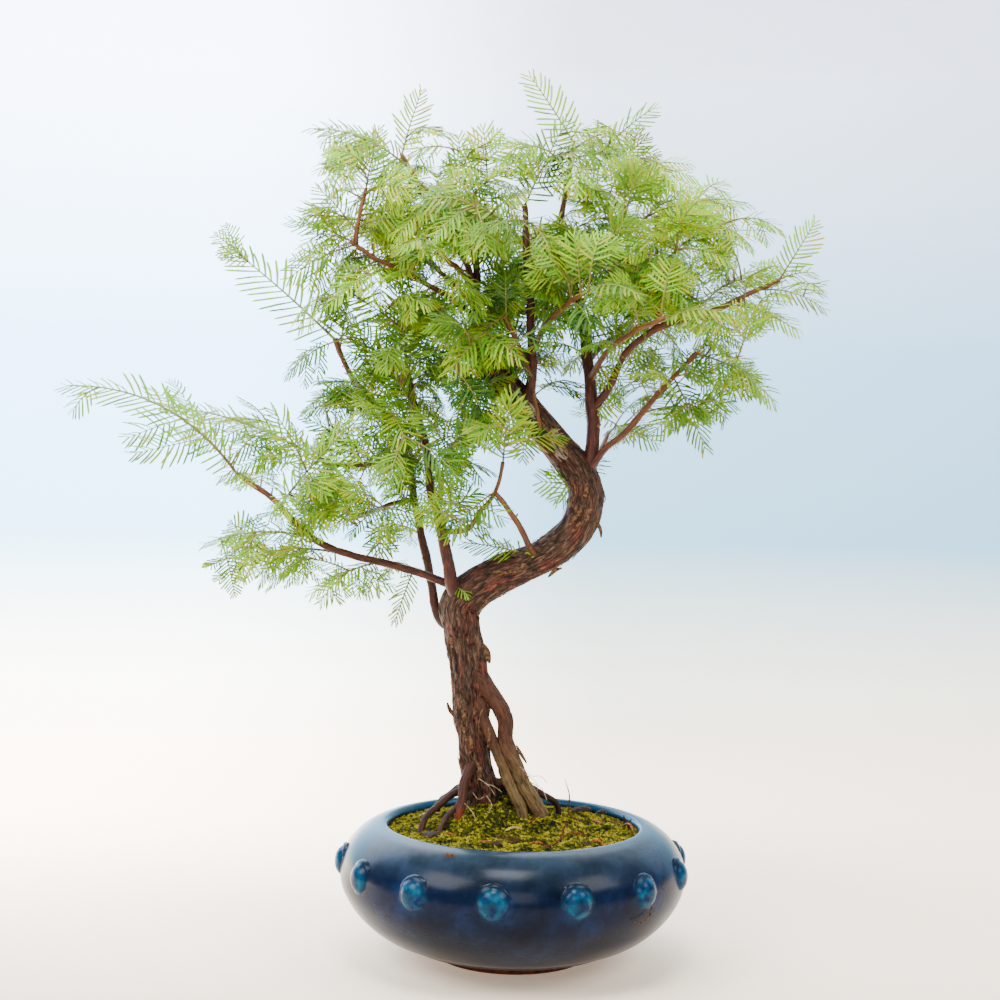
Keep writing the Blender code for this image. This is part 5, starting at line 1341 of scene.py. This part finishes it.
class Foliage(Shell):
    """The centre lines of one leaf piece, with what the needles and the stem need at each point."""

    def __init__(self):
        super().__init__()
        self.perches = []

    def line(self, points, up, needle, thick, youth, bare, woody):
        """A centre line. bare is the share of it that carries no needles yet."""
        first, last = len(self.verts), len(points) - 1
        shares = [i / last for i in range(last + 1)]
        grown = [max(share - bare, 0) / (1 - bare) for share in shares]
        swell = [math.sin(math.pi * (0.22 + 0.66 * part)) ** 0.8 if share >= bare else 0.0
                 for share, part in zip(shares, grown)]
        self.add(points, [], upper=[up] * (last + 1),
                 reach=[needle * rise * MM for rise in swell],
                 share=grown,
                 thick=[thick * (1 - 0.6 * share) * MM for share in shares],
                 woody=[woody * (1 - share) for share in shares],
                 youth=[min(max(youth + 0.35 * (share - 0.4), 0), 1) for share in shares],
                 gap=[min(max(needle / 15, 0.95), 2.1)] * (last + 1))
        self.edges += [(first + i, first + i + 1) for i in range(last)]

    def stem(self, draw, foot, tip, arch, facing, needle, stations, youth, bare=0.06, root=None, forks=(),
             sag=0.0):
        """A leafy stem with its forks and with pairs of side sprays at (share along it, length).

        sag is how far its tip hangs below the straight line.
        """
        reach = tip - foot
        along = reach.normalized()
        face = math.radians(facing)
        up = Vector((0, -math.sin(face), math.cos(face)))
        up = (up - along * up.dot(along)).normalized()
        count = max(6, round(reach.length / 5))
        points = [foot.lerp(tip, i / count) + up * arch * 4 * (i / count) * (1 - i / count)
                  - Vector((0, 0, sag)) * (i / count) ** 3 for i in range(count + 1)]
        thick = 0.62 + reach.length / 190
        self.line([root] * (root is not None) + points, up, needle, thick, youth, bare, 0.9)
        self.perches += [(point, along) for point in points[1:-1]]
        for share, end, fork_facing, fork_needle, pair_count in forks:
            start = points[min(max(1, round(share * count)), count - 2)]
            self.stem(draw, start, Vector(end), FORK_ARCH, fork_facing, fork_needle,
                      side_stations((Vector(end) - start).length, pair_count), youth + 0.1, bare=0.12)
        for share, length in stations:
            i = min(int(share * count), count - 1)
            start = points[i].lerp(points[i + 1], share * count - i)
            ahead = (points[i + 1] - points[i]).normalized()
            side = up.cross(ahead).normalized()
            above = ahead.cross(side)
            for hand in (-1, 1):
                turn = math.radians(SIDE_ANGLE + draw.uniform(-7, 7))
                dip = math.radians(SIDE_DIP + draw.uniform(-9, 7))
                level = ahead * math.cos(turn) + side * hand * math.sin(turn)
                aim = level * math.cos(dip) - above * math.sin(dip)
                size = length * draw.uniform(0.9, 1.08)
                sink = size * draw.uniform(0.06, 0.16)
                steps = max(4, round(size / 4))
                line = [start + aim * size * k / steps - above * sink * (k / steps) ** 2
                        for k in range(steps + 1)]
                self.line(line, above, needle * SIDE_NEEDLE, 0.55, youth + 0.1, 0.05, 0.35)


def nearest_wood(place, names=None, flat=False):
    """The nearest point of the boughs: (distance, point, direction, radius, bough). flat ignores depth."""
    best = None
    for name in names or BOUGHS:
        route, start, end = BOUGHS[name]
        rows = [Vector(row) for row in with_radii(route, start, end)]
        for a, b in itertools.pairwise(rows):
            one, two = a.xyz, b.xyz
            if flat:
                goal = Vector((place.x, 0, place.z))
                _, share = intersect_point_line(goal, Vector((one.x, 0, one.z)), Vector((two.x, 0, two.z)))
            else:
                _, share = intersect_point_line(place, one, two)
            share = min(max(share, 0), 1)
            point = one.lerp(two, share)
            gap = point - place
            if flat:
                gap.y = 0
            if best is None or gap.length < best[0]:
                best = (gap.length, point, (two - one).normalized(), a.w + (b.w - a.w) * share, name)
    return best


def side_stations(length, pair_count):
    """Where pairs of side sprays leave a stem, as a share of it, and their lengths."""
    steps = max(5, round(length / STATION_STEP))
    return [(max(2, round(steps * (0.24 + 0.26 * k))) / steps, length * (0.40 - 0.10 * k))
            for k in range(pair_count)]


def frame_stem(leaves, index, row, draw):
    """A leafy stem of the frame, on the same line and with its side sprays at the same places."""
    bough, base, tip, arch, facing, needle, pair_count = row
    tip = Vector(tip)
    _, centre, _, radius, _ = nearest_wood(Vector(base), [bough])
    foot = centre + (tip - centre).normalized() * (radius + 0.45)
    length = (tip - foot).length
    stations = side_stations(length, pair_count)
    # Between the pairs that the frame has, and past them, stand shorter ones.
    extra = ((0.38, 0.3), (0.64, 0.24), (0.76, 0.17))[:max(pair_count * 2 - 1, 0)]
    stations += [(share, length * size) for share, size in extra]
    youth = (0.25, 0.75)[index % 2 == 0] if bough not in ("low_left", "long_left") else 0.85
    forks = [fork[1:] for fork in FORKS if fork[0] == index + 1]
    leaves.stem(draw, foot, tip, arch, facing, needle, stations, youth, root=centre, forks=forks)


def small_spray(groups, row, draw):
    """A spray placed by where it is seen, and held by the bough behind its foot."""
    foot, tip, depth, facing, needle, pair_count = row
    _, wood, _, _, bough = nearest_wood(Vector((foot[0], 0, foot[1])), flat=True)
    tip = Vector((tip[0], wood.y + depth, tip[1]))
    length = (tip - wood).length
    stations = [(0.4 + 0.22 * k, length * (0.4 - 0.1 * k)) for k in range(pair_count)]
    groups[bough].stem(draw, wood, tip, 2.5, facing, needle, stations, 0.6, bare=0.14)


def crown_spray(lookup, perches, centre, half, needle, youth, draw, room):
    """A spray through a place of the crown, on a twig from the nearest bough or stem, if one is in reach."""
    place = Vector([c + h * draw.uniform(-1, 1) for c, h in zip(centre, half)])
    foot, index, away = lookup.find(place)
    if not SHORTEST_TWIG < away < LONGEST_TWIG:
        return
    _, ahead, leaves = perches[index]
    out = (place - foot).normalized()
    run = out * 0.75 + ahead * 0.45 + Vector((draw.uniform(-0.3, 0.3), draw.uniform(-0.3, 0.3), 0))
    run.z = run.z * 0.45 + 0.05
    tip = place + run.normalized() * draw.uniform(20, 32)
    low, high = room
    if any(not low[i] < tip[i] < high[i] for i in range(3)):
        return
    near, far = OPEN_WINDOW
    if any(all(near[i] < spot[i] < far[i] for i in range(3)) for spot in (place, tip)):
        return
    length = (tip - foot).length
    bare = min(0.5, 0.7 * away / length)
    facing = draw.uniform(30, 80) if place.y < 20 else draw.uniform(-40, 40)
    stations = []
    share, size = bare + 0.08, min(0.44 * length, 26)
    while share < 0.8:
        stations.append((share, size))
        share += 9.0 / length + 0.06
        size *= 0.84
    leaves.stem(draw, foot, tip, draw.uniform(1, 6), facing, needle * draw.uniform(0.8, 1.05),
                stations[:3], youth + draw.uniform(-0.35, 0.3), bare=bare, sag=length * 0.14)


def make_leaves():
    draw = random.Random(FILL_SEED)
    groups = {}
    pieces = {name: Foliage() for name in LEAF_GROUPS}
    stands_for = {name: [] for name in LEAF_GROUPS}
    for name, (_, boughs) in LEAF_GROUPS.items():
        groups.update({bough: pieces[name] for bough in boughs})
        for index, row in enumerate(LEAFY_STEMS):
            if row[0] in boughs:
                frame_stem(pieces[name], index, row, draw)
                stands_for[name].append(f"leafy_stem_{index + 1:02d}")
    for row in SMALL_SPRAYS:
        small_spray(groups, row, draw)
    perches = [(*perch, leaves) for leaves in pieces.values() for perch in leaves.perches]
    for bough, (route, start, end) in BOUGHS.items():
        rows = flowing(with_radii(route, start, end), 4)
        perches += [(a.xyz, (b - a).xyz.normalized(), groups[bough]) for a, b in itertools.pairwise(rows)]
    lookup = KDTree(len(perches))
    for number, (place, _, _) in enumerate(perches):
        lookup.insert(place, number)
    lookup.balance()
    room = [[value / MM + inset for value, inset in zip(corner, insets)]
            for corner, insets in zip(cad_box, ((6, 12, 0), (-6, -12, -12)))]
    for centre, half, count, needle, youth in CROWN_FILL:
        for _ in range(count):
            crown_spray(lookup, perches, centre, half, needle, youth, draw, room)
    skins = {
        "young_needles": needle_skin("young_needle_skin", ("286202", "4A8204", "6E860A"),
                                     ("66A602", "8ABA04", "A69A0A")),
        "green_needles": needle_skin("mature_needle_skin", ("163604", "265A06", "447208"),
                                     ("528A04", "7CAE06", "94900E")),
    }
    stem = green_stem()
    tree, shapes = needle_tree(), needle_shapes()
    for number, (name, (slot_name, _)) in enumerate(LEAF_GROUPS.items()):
        piece = run_nodes(pieces[name].build(name, smooth=False), tree,
                          {"Spacing": NEEDLE_SPACING * MM, "Foot Angle": math.radians(FOOT_ANGLE),
                           "Tip Angle": math.radians(TIP_ANGLE), "Droop": 0.25, "Shapes": shapes,
                           "Needles": skins[slot_name], "Stem": stem, "Seed": number})
        keep(piece, slot_name, *stands_for[name])
    for shape in list(shapes.objects):
        bpy.data.objects.remove(shape)
    bpy.data.collections.remove(shapes)


def main():
    make_camera()
    make_studio()
    make_pot()
    skin, ring_count = make_trunk()
    make_bark_strips(skin, ring_count)
    noise.seed_set(SWAY_SEED)
    make_roots()
    make_boughs()
    make_moss()
    make_litter()
    make_leaves()
    earth, plastic = damp_soil(), moulded_plastic()
    for name, made in (("soil", earth), ("drain_mesh_left", plastic), ("drain_mesh_right", plastic)):
        for place in frame["nodes"][name].material_slots:
            place.material = made


main()
